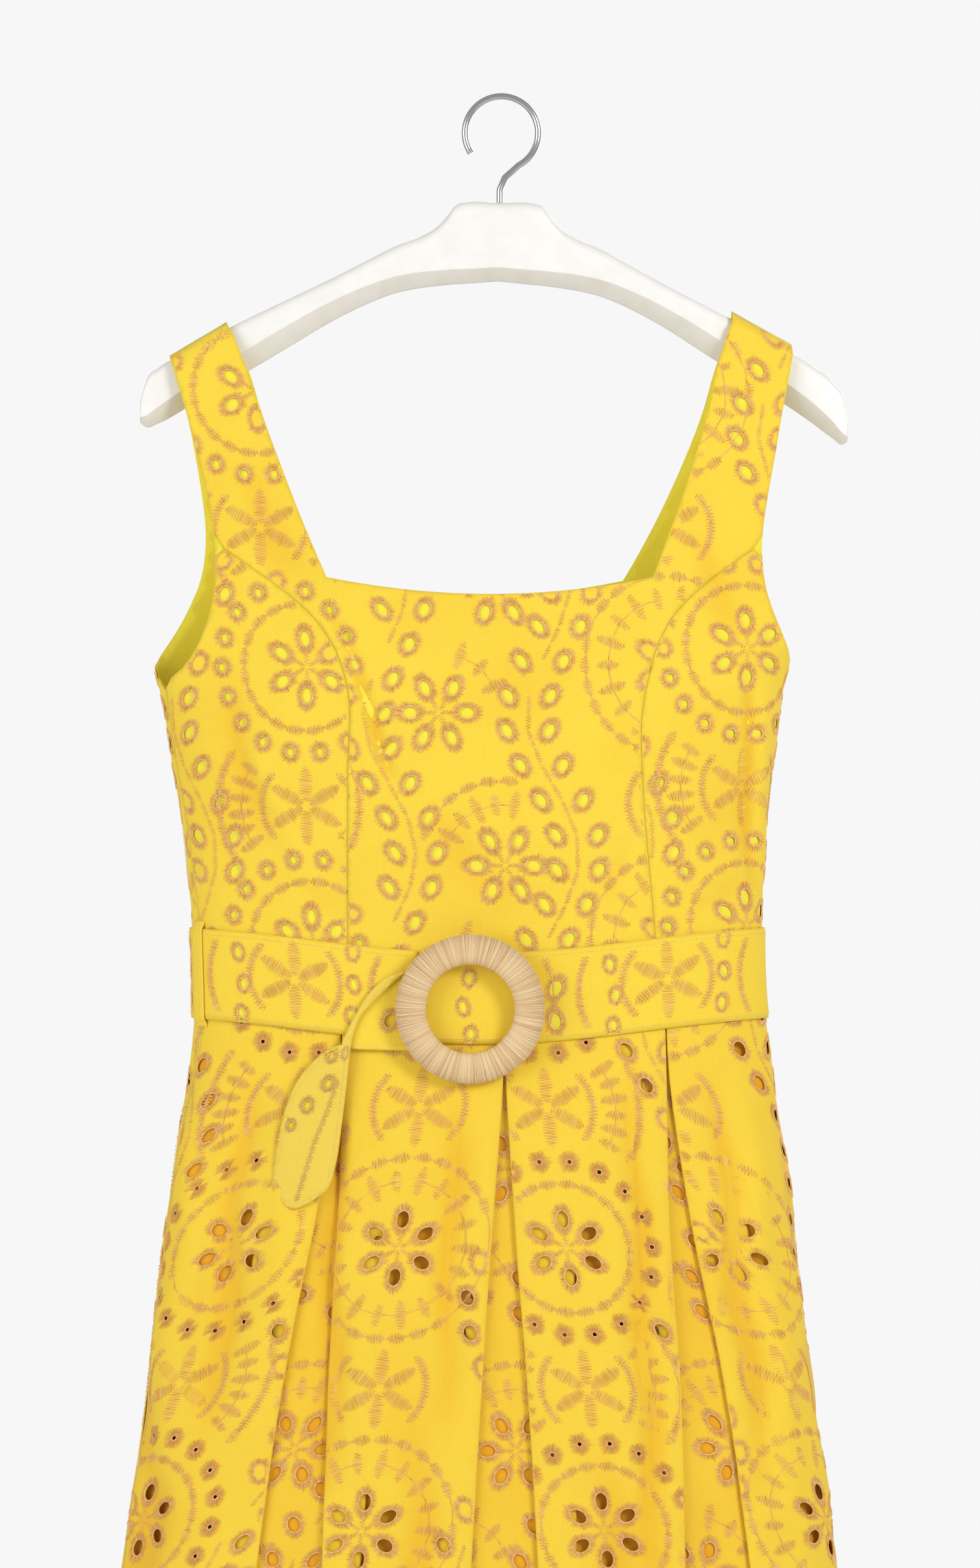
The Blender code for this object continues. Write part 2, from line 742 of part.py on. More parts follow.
def skirt_piece(name, place, origin, most, look, collection):
    """A skirt half with three inverted pleats, cut flat with its eyelets and then folded."""
    sections = {}

    def section(z):
        key = round(z, 5)
        if key not in sections:
            sections[key] = PleatSection(key, ring(key).front, OUTER)
        return sections[key]

    def top_of(w):
        p = section(WAIST).at(w)[0]
        return waist(p) - SEAM

    columns = range(-len(section(HEM).w) + 1, len(section(HEM).w))
    folds = []
    for column in columns:
        side = math.copysign(1.0, column)
        w = side * section(WAIST).w[abs(column)]
        line = [(w, top_of(w)), (w, top_of(w) - BELT_HALF)]
        for z in SKIRT_ROWS:
            line.append((side * section(z).w[abs(column)], z))
        folds.append(line)
    outline = [line[0] for line in folds] + folds[-1][1:-1]
    outline += [line[-1] for line in reversed(folds)] + folds[0][-2:0:-1]

    def clear_of_folds(centre, room):
        at = section(centre[1])
        places = at.w[at.bends]
        return np.abs(np.abs(centre[0]) - places).min() > room

    def reach(z):
        return section(z).w[-1]

    holes = holes_within(outline, origin, most, reach, clear_of_folds, False)
    lines = []
    for line in folds:
        lines += unbroken(line, holes)
    flat, triangles = cut_sheet(outline, [], holes, lines)
    points = []
    for w, z in flat:
        p, inset = section(z).at(w)
        points.append(place(p, z, float(inset)))
    obj = piece(name, points, triangles, look, collection)
    return thicken(obj, CLOTH)


def unbroken(line, holes):
    """The stretches of a column line that no eyelet breaks."""
    near = [hole for hole in holes if any(distance_to(p, line) < 0.012 for p in hole[:1])]
    kept, part = [], [line[0]]
    for start, end in zip(line, line[1:]):
        crossed = False
        for step in np.linspace(0, 1, 24):
            point = (
                start[0] + (end[0] - start[0]) * step,
                start[1] + (end[1] - start[1]) * step,
            )
            if any(inside(point, hole) or distance_to(point, hole) < COLUMN_ROOM for hole in near):
                crossed = True
                break
        if crossed:
            if len(part) > 1:
                kept.append(part)
            part = [end]
        else:
            part.append(end)
    if len(part) > 1:
        kept.append(part)
    return kept


def strip(name, rows, look, collection, thickness):
    """A sheet through rows of points, each row as long as the next."""
    across = len(rows[0])
    points = [point for row in rows for point in row]
    faces = []
    for i in range(len(rows) - 1):
        for j in range(across - 1):
            a = i * across + j
            faces.append((a, a + 1, a + across + 1, a + across))
    return thicken(piece(name, points, faces, look, collection), thickness)


def skirt_lining(name, place, look, collection):
    """Plain lining, a little shorter than the skirt and close inside its pleats."""
    parts = (0.0, 0.22, 0.45, 0.62, 0.74, 0.82, 0.87, 0.91, 0.95, 1.0)
    across = [-part for part in parts[:0:-1]] + list(parts)
    inset = OUTER + 2 * LAYER + CLOTH + LINING_AIR
    rows = []
    for drop in (SEAM, BELT_HALF):
        row = []
        for part in across:
            p = part * (ring(WAIST).front - SEAM)
            row.append(place(p, waist(p) - drop, inset))
        rows.append(row)
    for z in LINING_ROWS:
        width = ring(z).front - SEAM
        rows.append([place(part * width, z, inset) for part in across])
    return strip(name, rows, look, collection, CLOTH)


def belt_drop(s, at):
    reach = min(abs(s) / at.front, 1.0)
    return WAIST_DIP * math.cos(reach * math.pi / 2) ** 2


def belt_band(look, collection):
    """The belt round the waist, its two ends meeting under the ring."""
    at = ring(WAIST)
    slit = at.arc(RING_X - RING_RADIUS - at.centre)
    start = slit + BELT_SLIT
    end = slit + 2 * at.whole - BELT_SLIT
    ring_places = at.s[::BELT_EVERY]
    laps = np.concatenate([ring_places, 2 * at.whole - ring_places, 2 * at.whole + ring_places])
    between = [s for s in np.unique(np.round(laps, 5)) if start + 0.002 < s < end - 0.002]
    rows = []
    for s in [start, *between, end]:
        around = (s + at.whole) % (2 * at.whole) - at.whole
        middle = WAIST - belt_drop(around, at)
        row = []
        for up in (-1, 0, 1):
            z = middle + up * BELT_HALF
            row.append(on_form(s - ring(z).shift, z, BELT_OUT))
        rows.append(row)
    return strip("belt_band", rows, look, collection, BELT_CLOTH)


def tail_place(x, z, stand):
    """A point beside the ring's middle, standing off the garment's front."""
    height = RING_Z + z
    at = ring(height)
    return on_form(at.arc(RING_X + x - at.centre) - at.shift, height, -stand)


def belt_tail(look, collection):
    """The belt's end: out to the left from under the ring, folded over and hanging down."""
    across = 5
    turn = TAIL[0][5] - TAIL_STAND

    def row(right, left, bow, stand):
        points = []
        for j in range(across):
            t = j / (across - 1)
            lift = bow * math.sin(math.pi * t)
            x = right[0] + (left[0] - right[0]) * t - lift
            z = right[1] + (left[1] - right[1]) * t + lift
            points.append(tail_place(x, z, stand))
        return points

    right_x, right_z, left_x, left_z, bow, _ = TAIL[0]
    rows = []
    for part in (0.0, 0.35, 0.7, 0.93):
        upper_x = TAIL_ROOT_X + (right_x - TAIL_ROOT_X) * part
        upper = (upper_x, TAIL_TOP + (right_z - TAIL_TOP) * part)
        lower = (TAIL_ROOT_X + (left_x - TAIL_ROOT_X) * part, TAIL_BOTTOM)
        rows.append(row(upper, lower, bow * part, TAIL_STAND))
    fold = turn / 2
    rows.append(row((right_x - fold, right_z), (left_x - fold, left_z), bow, TAIL_STAND + fold))
    for right_x, right_z, left_x, left_z, bow, stand in TAIL[1:]:
        rows.append(row((right_x, right_z), (left_x, left_z), bow, stand))
    return strip("belt_tail", rows, look, collection, TAIL_CLOTH)


def belt_loop(name, side, look, collection):
    """A carrier over the belt at a side seam, sewn down above and below it."""
    over = [(BELT_HALF + up, out) for up, out in CARRIER]
    profile = over + [(0.0, CARRIER[-1][1])] + [(-up, out) for up, out in reversed(over)]
    rows = []
    for up, out in profile:
        row = []
        for part in (-1, -0.33, 0.33, 1):
            z = WAIST + up
            at = ring(z)
            p = side * at.front + part * LOOP_HALF
            z -= belt_drop(p + at.shift, at)
            row.append(on_form(p, z, -out))
        rows.append(row)
    return strip(name, rows, look, collection, CLOTH)


def buckle_ring(look, collection):
    """A round ring of wound straw, flat behind where it lies on the belt."""
    bpy.ops.mesh.primitive_torus_add(
        major_radius=RING_RADIUS,
        minor_radius=RING_HALF_BAND,
        major_segments=36,
        minor_segments=8,
    )
    obj = bpy.context.object
    obj.name = "buckle_ring"
    obj.data.name = "buckle_ring"
    at = ring(RING_Z)
    front = on_form(at.arc(RING_X - at.centre) - at.shift, RING_Z, -TAIL_STAND)
    depth = RING_HALF_DEPTH + TAIL_CLOTH / 2 + RING_AIR
    obj.scale = (1.0, 1.0, RING_HALF_DEPTH / RING_HALF_BAND)
    obj.rotation_euler = (math.pi / 2, 0.0, 0.0)
    obj.location = (RING_X, front.y - depth, RING_Z)
    obj.data.materials.append(look)
    obj.data.shade_smooth()
    for owner in list(obj.users_collection):
        owner.objects.unlink(obj)
    collection.objects.link(obj)
    return obj


def hanger_section(out, top, bevel, bottom, thin):
    """The arm's cut: round above, bevelled in front below."""
    half = HANGER_HALF * thin
    ridge = bottom + bevel
    soft = 0.0018 * thin
    crown = [math.radians(turn) for turn in (-90, -58, -26, 0, 26, 58, 90)]
    corners = [(half * math.sin(a), top - half * (1 - math.cos(a))) for a in crown]
    corners += [
        (half, bottom + soft),
        (half - soft, bottom),
        (0.15 * half, bottom),
        (-half, ridge),
    ]
    points = []
    for y, height in corners:
        x, z = hanger_point(out, height)
        points.append(Vector((x, y, z)))
    return points


def hanger_body(look, collection):
    """A loft from tip to tip through the table's sections."""
    arm = []
    for out, top, bevel, bottom in HANGER:
        past = max(out - TIP_START, 0.0) / (HANGER[-1][0] - TIP_START)
        thin = 1.0 - TIP_THINNING * past**2
        arm.append((out, top, bevel, bottom, thin))
    stations = [(-row[0], *row[1:]) for row in reversed(arm[1:])] + arm
    sections = [hanger_section(*station) for station in stations]
    points = [point for section in sections for point in section]
    sides = len(sections[0])
    faces = [tuple(range(sides)), tuple(reversed(range(len(points) - sides, len(points))))]
    for i in range(len(sections) - 1):
        for j in range(sides):
            a, b = i * sides + j, i * sides + (j + 1) % sides
            faces.append((a, a + sides, b + sides, b))
    obj = piece("hanger_body", points, faces, look, collection)
    shape = bmesh.new()
    shape.from_mesh(obj.data)
    bmesh.ops.recalc_face_normals(shape, faces=shape.faces)
    shape.to_mesh(obj.data)
    shape.free()
    return obj


def hanger_hook(look, collection):
    """A round wire hook. Its inside top is the origin."""
    radius = HOOK_INSIDE + HOOK_WIRE
    middle = -HOOK_INSIDE
    seat_x, seat_z = hanger_point(0.0, HANGER[0][1])
    bend_x, bend_drop = HOOK_BEND
    path = [(seat_x, seat_z + HOOK_SEAT), (seat_x, seat_z + HOOK_STEM)]
    path.append((bend_x, middle - bend_drop * radius))
    start, end, steps = -62, 214, 22
    for i in range(steps + 1):
        angle = math.radians(start + (end - start) * i / steps)
        path.append((radius * math.cos(angle), middle + radius * math.sin(angle)))
    curve = bpy.data.curves.new("hanger_hook", "CURVE")
    curve.dimensions = "3D"
    curve.bevel_depth = HOOK_WIRE
    curve.bevel_resolution = 2
    curve.use_fill_caps = True
    spline = curve.splines.new("POLY")
    spline.points.add(len(path) - 1)
    for point, (x, z) in zip(spline.points, path):
        point.co = (x, 0.0, z, 1.0)
    obj = bpy.data.objects.new("hanger_hook", curve)
    curve.materials.append(look)
    collection.objects.link(obj)
    return obj


def main():
    clear_scene()
    garment = bpy.data.collections.new("embroidered_dress")
    bpy.context.scene.collection.children.link(garment)
    cloth = material("eyelet_cotton", YELLOW, 0.80)
    lining = material("cotton_lining", LEMON, 0.75)
    reverse = material("cotton_wrong_side", PALE_YELLOW, 0.80)
    straw = material("wound_straw", STRAW, 0.70)
    paint = material("white_paint", WHITE, 0.45)
    steel = material("hook_steel", STEEL, 0.25, 1.0)

    centre = front_outline(centre_side)
    whole = front_outline(whole_side)
    bodice_piece(
        "bodice_front_centre", centre, on_form, cloth, garment, OUTER,
        holes_within(centre, BODICE_REPEAT, 32), (-1, 1),
    )
    for name, side in (("left", -1), ("right", 1)):
        outline = side_front_outline(side)
        bodice_piece(
            f"bodice_side_front_{name}", outline, on_form, cloth, garment, OUTER,
            holes_within(outline, SIDE_REPEATS[name], 8),
        )
    bodice_piece(
        "bodice_back", whole, back_place, cloth, garment, OUTER,
        holes_within(whole, BACK_REPEAT, 20), (-1, 1),
    )
    bodice_piece("bodice_lining_front", whole, on_form, lining, garment, LINING, (), (-1, 1))
    bodice_piece("bodice_lining_back", whole, back_place, lining, garment, LINING, (), (-1, 1))
    skirt_piece("skirt_front", on_form, SKIRT_REPEAT, 60, cloth, garment)
    skirt_piece("skirt_back", back_place, SKIRT_BACK_REPEAT, 26, cloth, garment)
    skirt_lining("skirt_lining_front", on_form, lining, garment)
    skirt_lining("skirt_lining_back", back_place, lining, garment)
    belt_band(cloth, garment)
    belt_tail(reverse, garment)
    belt_loop("belt_loop_left", -1, cloth, garment)
    belt_loop("belt_loop_right", 1, cloth, garment)
    buckle_ring(straw, garment)
    hanger_body(paint, garment)
    hanger_hook(steel, garment)


main()
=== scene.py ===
# %% [markdown]
# # Embroidered dress on a hanger
#
# A square-neck sundress in yellow broderie anglaise, with its straw-wound buckle, hung on a white
# contoured hanger. Every cloth piece is drawn flat, cut with its eyelets, and then laid on one form.
# A designer could sculpt the cloth or simulate it, but drawing it flat keeps the pattern pieces,
# their seams and their embroidery where a maker would have them, so each can be changed on its own.

import math

import bmesh
import bpy
import numpy as np
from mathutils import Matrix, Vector
from mathutils.geometry import delaunay_2d_cdt


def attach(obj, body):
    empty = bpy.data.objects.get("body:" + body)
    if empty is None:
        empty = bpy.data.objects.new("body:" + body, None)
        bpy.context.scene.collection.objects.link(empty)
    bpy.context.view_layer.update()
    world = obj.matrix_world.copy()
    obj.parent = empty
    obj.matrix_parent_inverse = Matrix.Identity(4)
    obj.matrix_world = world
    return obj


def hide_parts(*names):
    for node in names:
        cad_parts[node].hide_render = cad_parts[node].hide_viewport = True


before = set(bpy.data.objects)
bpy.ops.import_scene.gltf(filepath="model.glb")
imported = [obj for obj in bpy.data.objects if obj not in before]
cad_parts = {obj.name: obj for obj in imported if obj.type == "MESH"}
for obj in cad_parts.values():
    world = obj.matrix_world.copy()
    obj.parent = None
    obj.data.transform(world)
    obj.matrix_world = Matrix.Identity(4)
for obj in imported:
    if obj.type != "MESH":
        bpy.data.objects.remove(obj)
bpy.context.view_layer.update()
scene = bpy.context.scene
rng = np.random.default_rng(7)
print("frame loaded:", len(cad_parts), "parts")

# %% [markdown]
# ## The form under the cloth
#
# The cloth hangs on a form: one ring at each height, with its own width, front depth and back
# depth. The rings are worked out once on a fine grid, so thousands of cloth points can be placed
# at once. A loft between modelled rings would do the same, but a table of sizes is easier to tune.

# %% Sizes of the garment
UNDERARM = -0.3469
NECK_CORNER = -0.2867
NECK_CENTRE = -0.2968
WAIST = -0.5215
WAIST_DIP = 0.0138
HEM = -1.310
LINING_HEM = -1.236
SEAM = 0.00008
OUTER = 0.0004
LINING = 0.0014
TILT = math.radians(1.0)
STRAP_ROUND = 0.0118
STRAP_OVER_HANGER = 0.0045
STRAP_END = 0.0002
CLOTH_THICK = 0.0005
LINING_THICK = 0.0004
BACKING_THICK = 0.0003
CARRIER_THICK = 0.0006

# z, centre, half, front, back, squareness, shift
FORM = (
    (-0.100, -0.0143, 0.240, 0.0115, 0.0115, 4.0, 0.0005),
    (-0.134, -0.0143, 0.240, 0.0116, 0.0116, 4.0, 0.0010),
    (-0.187, -0.0143, 0.236, 0.0170, 0.0150, 3.6, 0.0040),
    (-0.224, -0.0143, 0.230, 0.0235, 0.0190, 3.3, 0.0055),
    (-0.287, -0.0150, 0.213, 0.0350, 0.0260, 2.9, 0.0080),
    (-0.347, -0.0178, 0.1877, 0.0450, 0.0320, 2.5, 0.0150),
    (-0.388, -0.0173, 0.1812, 0.0480, 0.0350, 2.4, 0.0134),
    (-0.439, -0.0159, 0.1743, 0.0470, 0.0360, 2.3, 0.0132),
    (-0.494, -0.0145, 0.1701, 0.0440, 0.0370, 2.3, 0.0143),
    (-0.549, -0.0129, 0.1708, 0.0450, 0.0390, 2.3, 0.0143),
    (-0.591, -0.0122, 0.1766, 0.0500, 0.0430, 2.3, 0.0138),
    (-0.635, -0.0129, 0.1842, 0.0550, 0.0470, 2.3, 0.0143),
    (-0.699, -0.0134, 0.1925, 0.0610, 0.0520, 2.3, 0.0146),
    (-0.749, -0.0127, 0.1987, 0.0650, 0.0560, 2.3, 0.0143),
    (-0.900, -0.0127, 0.2202, 0.0760, 0.0660, 2.3, 0.0143),
    (-1.100, -0.0127, 0.2487, 0.0870, 0.0770, 2.3, 0.0143),
    (-1.330, -0.0127, 0.2815, 0.0960, 0.0860, 2.3, 0.0143),
)

# out, top, bevel, bottom
HANGER = (
    (0.000, -0.0620, 0.0075, -0.1083),
    (0.020, -0.0620, 0.0078, -0.1100),
    (0.0265, -0.0640, 0.0080, -0.1105),
    (0.031, -0.0700, 0.0080, -0.1110),
    (0.037, -0.0768, 0.0082, -0.1117),
    (0.046, -0.0825, 0.0085, -0.1130),
    (0.061, -0.0885, 0.0090, -0.1163),
    (0.080, -0.0985, 0.0100, -0.1240),
    (0.100, -0.1090, 0.0112, -0.1345),
    (0.125, -0.1215, 0.0125, -0.1500),
    (0.150, -0.1340, 0.0125, -0.1655),
    (0.175, -0.1475, 0.0120, -0.1805),
    (0.190, -0.1570, 0.0110, -0.1905),
    (0.201, -0.1655, 0.0090, -0.1985),
    (0.2075, -0.1760, 0.0060, -0.2025),
    (0.2100, -0.1880, 0.0030, -0.2010),
)


# %% Work out the rings
LEVEL_STEP = 0.002
LEVELS = np.arange(-1.334, -0.096, LEVEL_STEP)
AROUND = 601


def columns(table, z):
    """Every column of a table after its first, read smoothly at each height z."""
    rows = np.array(sorted(table))
    heights, values = rows[:, 0], rows[:, 1:]
    z = np.clip(np.asarray(z, float), heights[0], heights[-1])
    at = np.clip(np.searchsorted(heights, z, side="right") - 1, 0, len(rows) - 2)
    slopes = np.gradient(values, heights, axis=0)
    step = (heights[at + 1] - heights[at])[..., None]
    t = (z - heights[at])[..., None] / step
    return (
        (2 * t**3 - 3 * t**2 + 1) * values[at]
        + (t**3 - 2 * t**2 + t) * step * slopes[at]
        + (3 * t**2 - 2 * t**3) * values[at + 1]
        + (t**3 - t**2) * step * slopes[at + 1]
    )


def ring_points(half, front, back, square):
    """Half an outline, from the front's centre round to the back's, at even steps."""
    turn = np.linspace(0, np.pi / 2, 300)
    reach = (np.sin(turn) ** square + np.cos(turn) ** square) ** (-1 / square)
    x, depth = half * reach * np.sin(turn), reach * np.cos(turn)
    x = np.concatenate([x, x[-2::-1]])
    y = np.concatenate([-front * depth, back * depth[-2::-1]])
    s = np.concatenate([[0.0], np.cumsum(np.hypot(np.diff(x), np.diff(y)))])
    even = np.linspace(0, s[-1], AROUND)
    return np.interp(even, s, x), np.interp(even, s, y), s[299], s[-1]


read = columns(FORM, LEVELS)
rings = [ring_points(*row[1:5]) for row in read]
CENTRE, SHIFT = read[:, 0], read[:, 5]
FORM_X = np.array([ring[0] for ring in rings])
FORM_Y = np.array([ring[1] for ring in rings])
FRONT = np.array([ring[2] for ring in rings])
WHOLE = np.array([ring[3] for ring in rings])
FORM_TX = np.gradient(FORM_X, axis=1)
FORM_TY = np.gradient(FORM_Y, axis=1)
print("rings:", len(LEVELS), "waist half round", round(float(np.interp(WAIST, LEVELS, WHOLE)), 3))

# %% [markdown]
# ## Laying cloth on the form
#
# A cloth point has a place p across and a height z. It goes round the ring from the front's centre,
# and an inset takes it into or off the form. Near the top of a strap the ring closes into a round
# cap, so the strap turns over the hanger's arm. A sheet could be bent by modifiers instead, but one
# formula keeps the cloth, its eyelets and its stitches together.


# %% Place cloth points
def hanger_point(out, height):
    """A point of the hanger, which hangs a little lower on the right."""
    return (
        out * math.cos(TILT) + height * math.sin(TILT),
        height * math.cos(TILT) - out * math.sin(TILT),
    )


arm_tops = [(-out, top) for out, top, _, _ in reversed(HANGER[1:])]
arm_tops += [(out, top) for out, top, _, _ in HANGER]
HANGER_TOP = np.array([hanger_point(*row) for row in arm_tops])


def strap_top(x):
    """The height of the round top of a strap over the hanger."""
    return np.interp(x, HANGER_TOP[:, 0], HANGER_TOP[:, 1]) + STRAP_OVER_HANGER


def level_of(z):
    """The level below each height, and how far it is to the next."""
    level = np.clip((z - LEVELS[0]) / LEVEL_STEP, 0, len(LEVELS) - 1.001)
    row = level.astype(int)
    return row, level - row


def per_level(values, z):
    """Values kept for each level, read at any height."""
    row, up = level_of(np.asarray(z, float))
    return values[row] * (1 - up) + values[row + 1] * up


def on_form(p, z, inset):
    """Places of cloth points, p round the garment from its front centre."""
    p, z, inset = (np.array(v, float) for v in np.broadcast_arrays(p, z, inset))
    row, up = level_of(z)
    whole = WHOLE[row] * (1 - up) + WHOLE[row + 1] * up
    s = (p + per_level(SHIFT, z) + whole) % (2 * whole) - whole
    side = np.where(s < 0, -1.0, 1.0)
    place = np.abs(s) / whole * (AROUND - 1)
    col = np.minimum(place.astype(int), AROUND - 2)
    on = place - col

    def grid(values):
        low = values[row, col] * (1 - on) + values[row, col + 1] * on
        high = values[row + 1, col] * (1 - on) + values[row + 1, col + 1] * on
        return low * (1 - up) + high * up

    x, y, tx, ty = (grid(v) for v in (FORM_X, FORM_Y, FORM_TX, FORM_TY))
    long = np.hypot(tx, ty)
    x = per_level(CENTRE, z) + side * (x - inset * ty / long)
    y = y + inset * tx / long
    below = strap_top(x) - inset - z
    radius = STRAP_ROUND - inset
    cap = np.sqrt(np.clip(1 - (1 - np.clip(below, 0, None) / radius) ** 2, 0, 1))
    y = np.where((z > UNDERARM) & (below < radius), y * cap, y)
    return np.stack([x, y, z], axis=-1)


def on_back(p, z, inset):
    """The back is drawn from its own centre, half way round, and its straps meet the front's."""
    whole, front = per_level(WHOLE, z), per_level(FRONT, z)
    p = p + 2 * per_level(SHIFT, z) * np.clip((np.asarray(z) + 0.30) / 0.14, 0, 1)
    return on_form(whole - p * (whole - front) / front, z, inset)


def arc(z, x):
    """How far round the front a point stands that lies x from the ring's centre."""
    row = int(round((z - LEVELS[0]) / LEVEL_STEP))
    widest = int(np.argmax(FORM_X[row]))
    steps = np.linspace(0, per_level(WHOLE, z), AROUND)
    mixed = np.array([per_level(FORM_X[:, i], z) for i in range(0, widest + 1, 6)])
    return math.copysign(float(np.interp(abs(x), mixed, steps[: widest + 1 : 6])), x)


def edge_arc(table, z):
    """How far round the front an edge's table stands at a height."""
    return arc(z, float(columns(table, z)[0]))


def dipped_waist(s):
    """The height of the waist seam at a place s on the ring. It dips at the front's centre."""
    reach = np.minimum(np.abs(s) / per_level(FRONT, WAIST), 1.0)
    return WAIST - WAIST_DIP * np.cos(reach * np.pi / 2) ** 2


def waist_height(p):
    """The height of the waist seam at a place p of the cloth."""
    return dipped_waist(p + per_level(SHIFT, WAIST))


print("front half at the waist:", round(float(per_level(FRONT, WAIST)), 4))

# %% [markdown]
# ## Pattern outlines
#
# Each piece has an outline as on a paper pattern: neck edge, armhole, princess seam, side and waist.
# Half widths are kept in short tables by height and read smoothly. Curves drawn by hand would look the
# same, but a table can be measured on the photo and changed a row at a time.

# %% Outlines of the bodice pieces
NECK_EDGE = (
    (-0.1334, 0.1509), (-0.1620, 0.1396), (-0.1870, 0.1327),
    (-0.2243, 0.1205), (-0.2430, 0.1138), (-0.2867, 0.0965),
)
ARMHOLE = (
    (-0.1530, 0.1858), (-0.1874, 0.1773), (-0.2151, 0.1713), (-0.2335, 0.1673),
    (-0.2659, 0.1623), (-0.2982, 0.1646), (-0.3307, 0.1775), (-0.3469, 0.1877),
)
PRINCESS = (
    (-0.2659, 0.1623), (-0.2867, 0.1327), (-0.3065, 0.1094), (-0.3270, 0.0958), (-0.3500, 0.0886),
    (-0.4090, 0.0870), (-0.4550, 0.0889), (-0.4967, 0.0907), (-0.5400, 0.0920),
)
NECK_START, ARMHOLE_START = NECK_EDGE[0][0], ARMHOLE[0][0]
PRINCESS_LOW, SIDE_LOW = -0.508, -0.512
STRAP_TURNS = (math.degrees(math.asin(STRAP_END / STRAP_ROUND)), 12, 22, 34, 45, 57, 68, 79, 90)


def strap_height(p, turn):
    """The height of a point on the strap's round top, turn degrees from the very top."""
    z = -0.14
    for _ in range(4):
        x = float(on_form(p, z, OUTER)[0])
        z = float(strap_top(x)) - STRAP_ROUND * (1 - math.cos(math.radians(turn)))
    return z


def strap_edge(side, table, start, end, count):
    """Points along a strap's edge, from its top down."""
    first = side * edge_arc(table, start)
    top = strap_height(first, STRAP_TURNS[0])
    points = []
    for turn in STRAP_TURNS:
        p = side * edge_arc(table, strap_height(first, turn))
        points.append((p, strap_height(p, turn)))
    points += [(side * edge_arc(table, z), z) for z in np.linspace(top - 2 * STRAP_ROUND, end, count)]
    return points


def front_outline(side_edge):
    """The outline of a front, from the neck's centre round each side to the waist's centre."""
    corner = edge_arc(NECK_EDGE, NECK_CORNER)
    parts = np.linspace(0, 0.96, 12)
    neck = [(corner * t, NECK_CORNER + (NECK_CENTRE - NECK_CORNER) * (1 - t**2)) for t in parts]
    halves = []
    for side in (1, -1):
        half = [(side * p, z) for p, z in neck[side < 0 :]]
        half += reversed(strap_edge(side, NECK_EDGE, NECK_START, NECK_CORNER, 18))
        half += side_edge(side)
        halves.append(half)
    return halves[0] + halves[1][::-1]


def princess_heights():
    """Heights down a princess seam, the same for both pieces that meet there."""
    return np.linspace(PRINCESS[0][0] - 0.004, PRINCESS_LOW, 44)


def waist_line(start, end, count):
    """Points along the waist seam."""
    return [(p, float(waist_height(p)) + SEAM) for p in np.linspace(start, end, count)]


def centre_side(side):
    """Armhole down to the princess seam, and the seam down to the waist."""
    points = strap_edge(side, ARMHOLE, ARMHOLE_START, PRINCESS[0][0] + 0.004, 14)
    points += [(side * (edge_arc(PRINCESS, z) - SEAM), z) for z in princess_heights()]
    line = waist_line(side * (edge_arc(PRINCESS, WAIST) - SEAM), 0.0, 12)
    return points + (line if side > 0 else line[:-1])


def whole_side(side):
    """Armhole down to the side seam, and the side down to the waist."""
    points = strap_edge(side, ARMHOLE, ARMHOLE_START, UNDERARM + 0.0012, 26)
    points += side_seam(side)
    line = waist_line(side * (float(per_level(FRONT, WAIST)) - SEAM), 0.0, 40)
    return points + (line if side > 0 else line[:-1])


def side_seam(side):
    """Points down a side seam of the bodice."""
    drops = np.linspace(UNDERARM - 0.006, SIDE_LOW, 28)
    return [(side * (float(per_level(FRONT, z)) - SEAM), z) for z in drops]


def side_front_outline(side):
    """A side front: armhole, side seam, waist and princess seam."""
    drops = np.linspace(PRINCESS[0][0] - 0.008, UNDERARM + 0.0012, 14)
    points = [(side * edge_arc(ARMHOLE, z), z) for z in drops]
    points += side_seam(side)
    outer = side * (float(per_level(FRONT, WAIST)) - SEAM)
    inner = side * (edge_arc(PRINCESS, WAIST) + SEAM)
    points += waist_line(outer, inner, 18)
    points += [(side * (edge_arc(PRINCESS, z) + SEAM), z) for z in princess_heights()[::-1]]
    return points


centre_outline = front_outline(centre_side)
whole_outline = front_outline(whole_side)
print("outline points:", len(centre_outline), len(whole_outline))

# %% [markdown]
# ## Cutting and laying a piece
#
# A flat sheet is triangulated inside its outline with a constrained Delaunay triangulation, and the
# eyelets are left out of it. Cutting with booleans is the usual way, but it leaves long thin faces
# that crease when the sheet is bent. Here the triangles are even, so the cloth bends smoothly.


# %% Helpers that cut a sheet
def inside(points, outline):
    """Which points lie in a closed outline, by the even-odd rule."""
    points, outline = np.asarray(points), np.asarray(outline)
    within = np.zeros(len(points), bool)
    x, z = points.T
    for (ax, az), (bx, bz) in zip(outline, np.roll(outline, -1, axis=0)):
        if az != bz:
            crosses = ((az > z) != (bz > z)) & (x < ax + (z - az) * (bx - ax) / (bz - az))
            within ^= crosses
    return within


def edge_distance(points, outline):
    """The shortest way from each point to an outline."""
    points, outline = np.asarray(points), np.asarray(outline)
    nearest = np.full(len(points), 1e9)
    for a, b in zip(outline, np.roll(outline, -1, axis=0)):
        along = b - a
        t = np.clip((points - a) @ along / max(along @ along, 1e-12), 0, 1)
        nearest = np.minimum(nearest, np.hypot(*(points - a - t[:, None] * along).T))
    return nearest


def hole_share(points, hole):
    """Below 1 inside an oval hole, 1 on its edge, more outside."""
    x, z, wide, long, angle = hole
    dx, dz = points[:, 0] - x, points[:, 1] - z
    across = dx * math.cos(angle) - dz * math.sin(angle)
    along = dx * math.sin(angle) + dz * math.cos(angle)
    return np.hypot(across / wide, along / long)


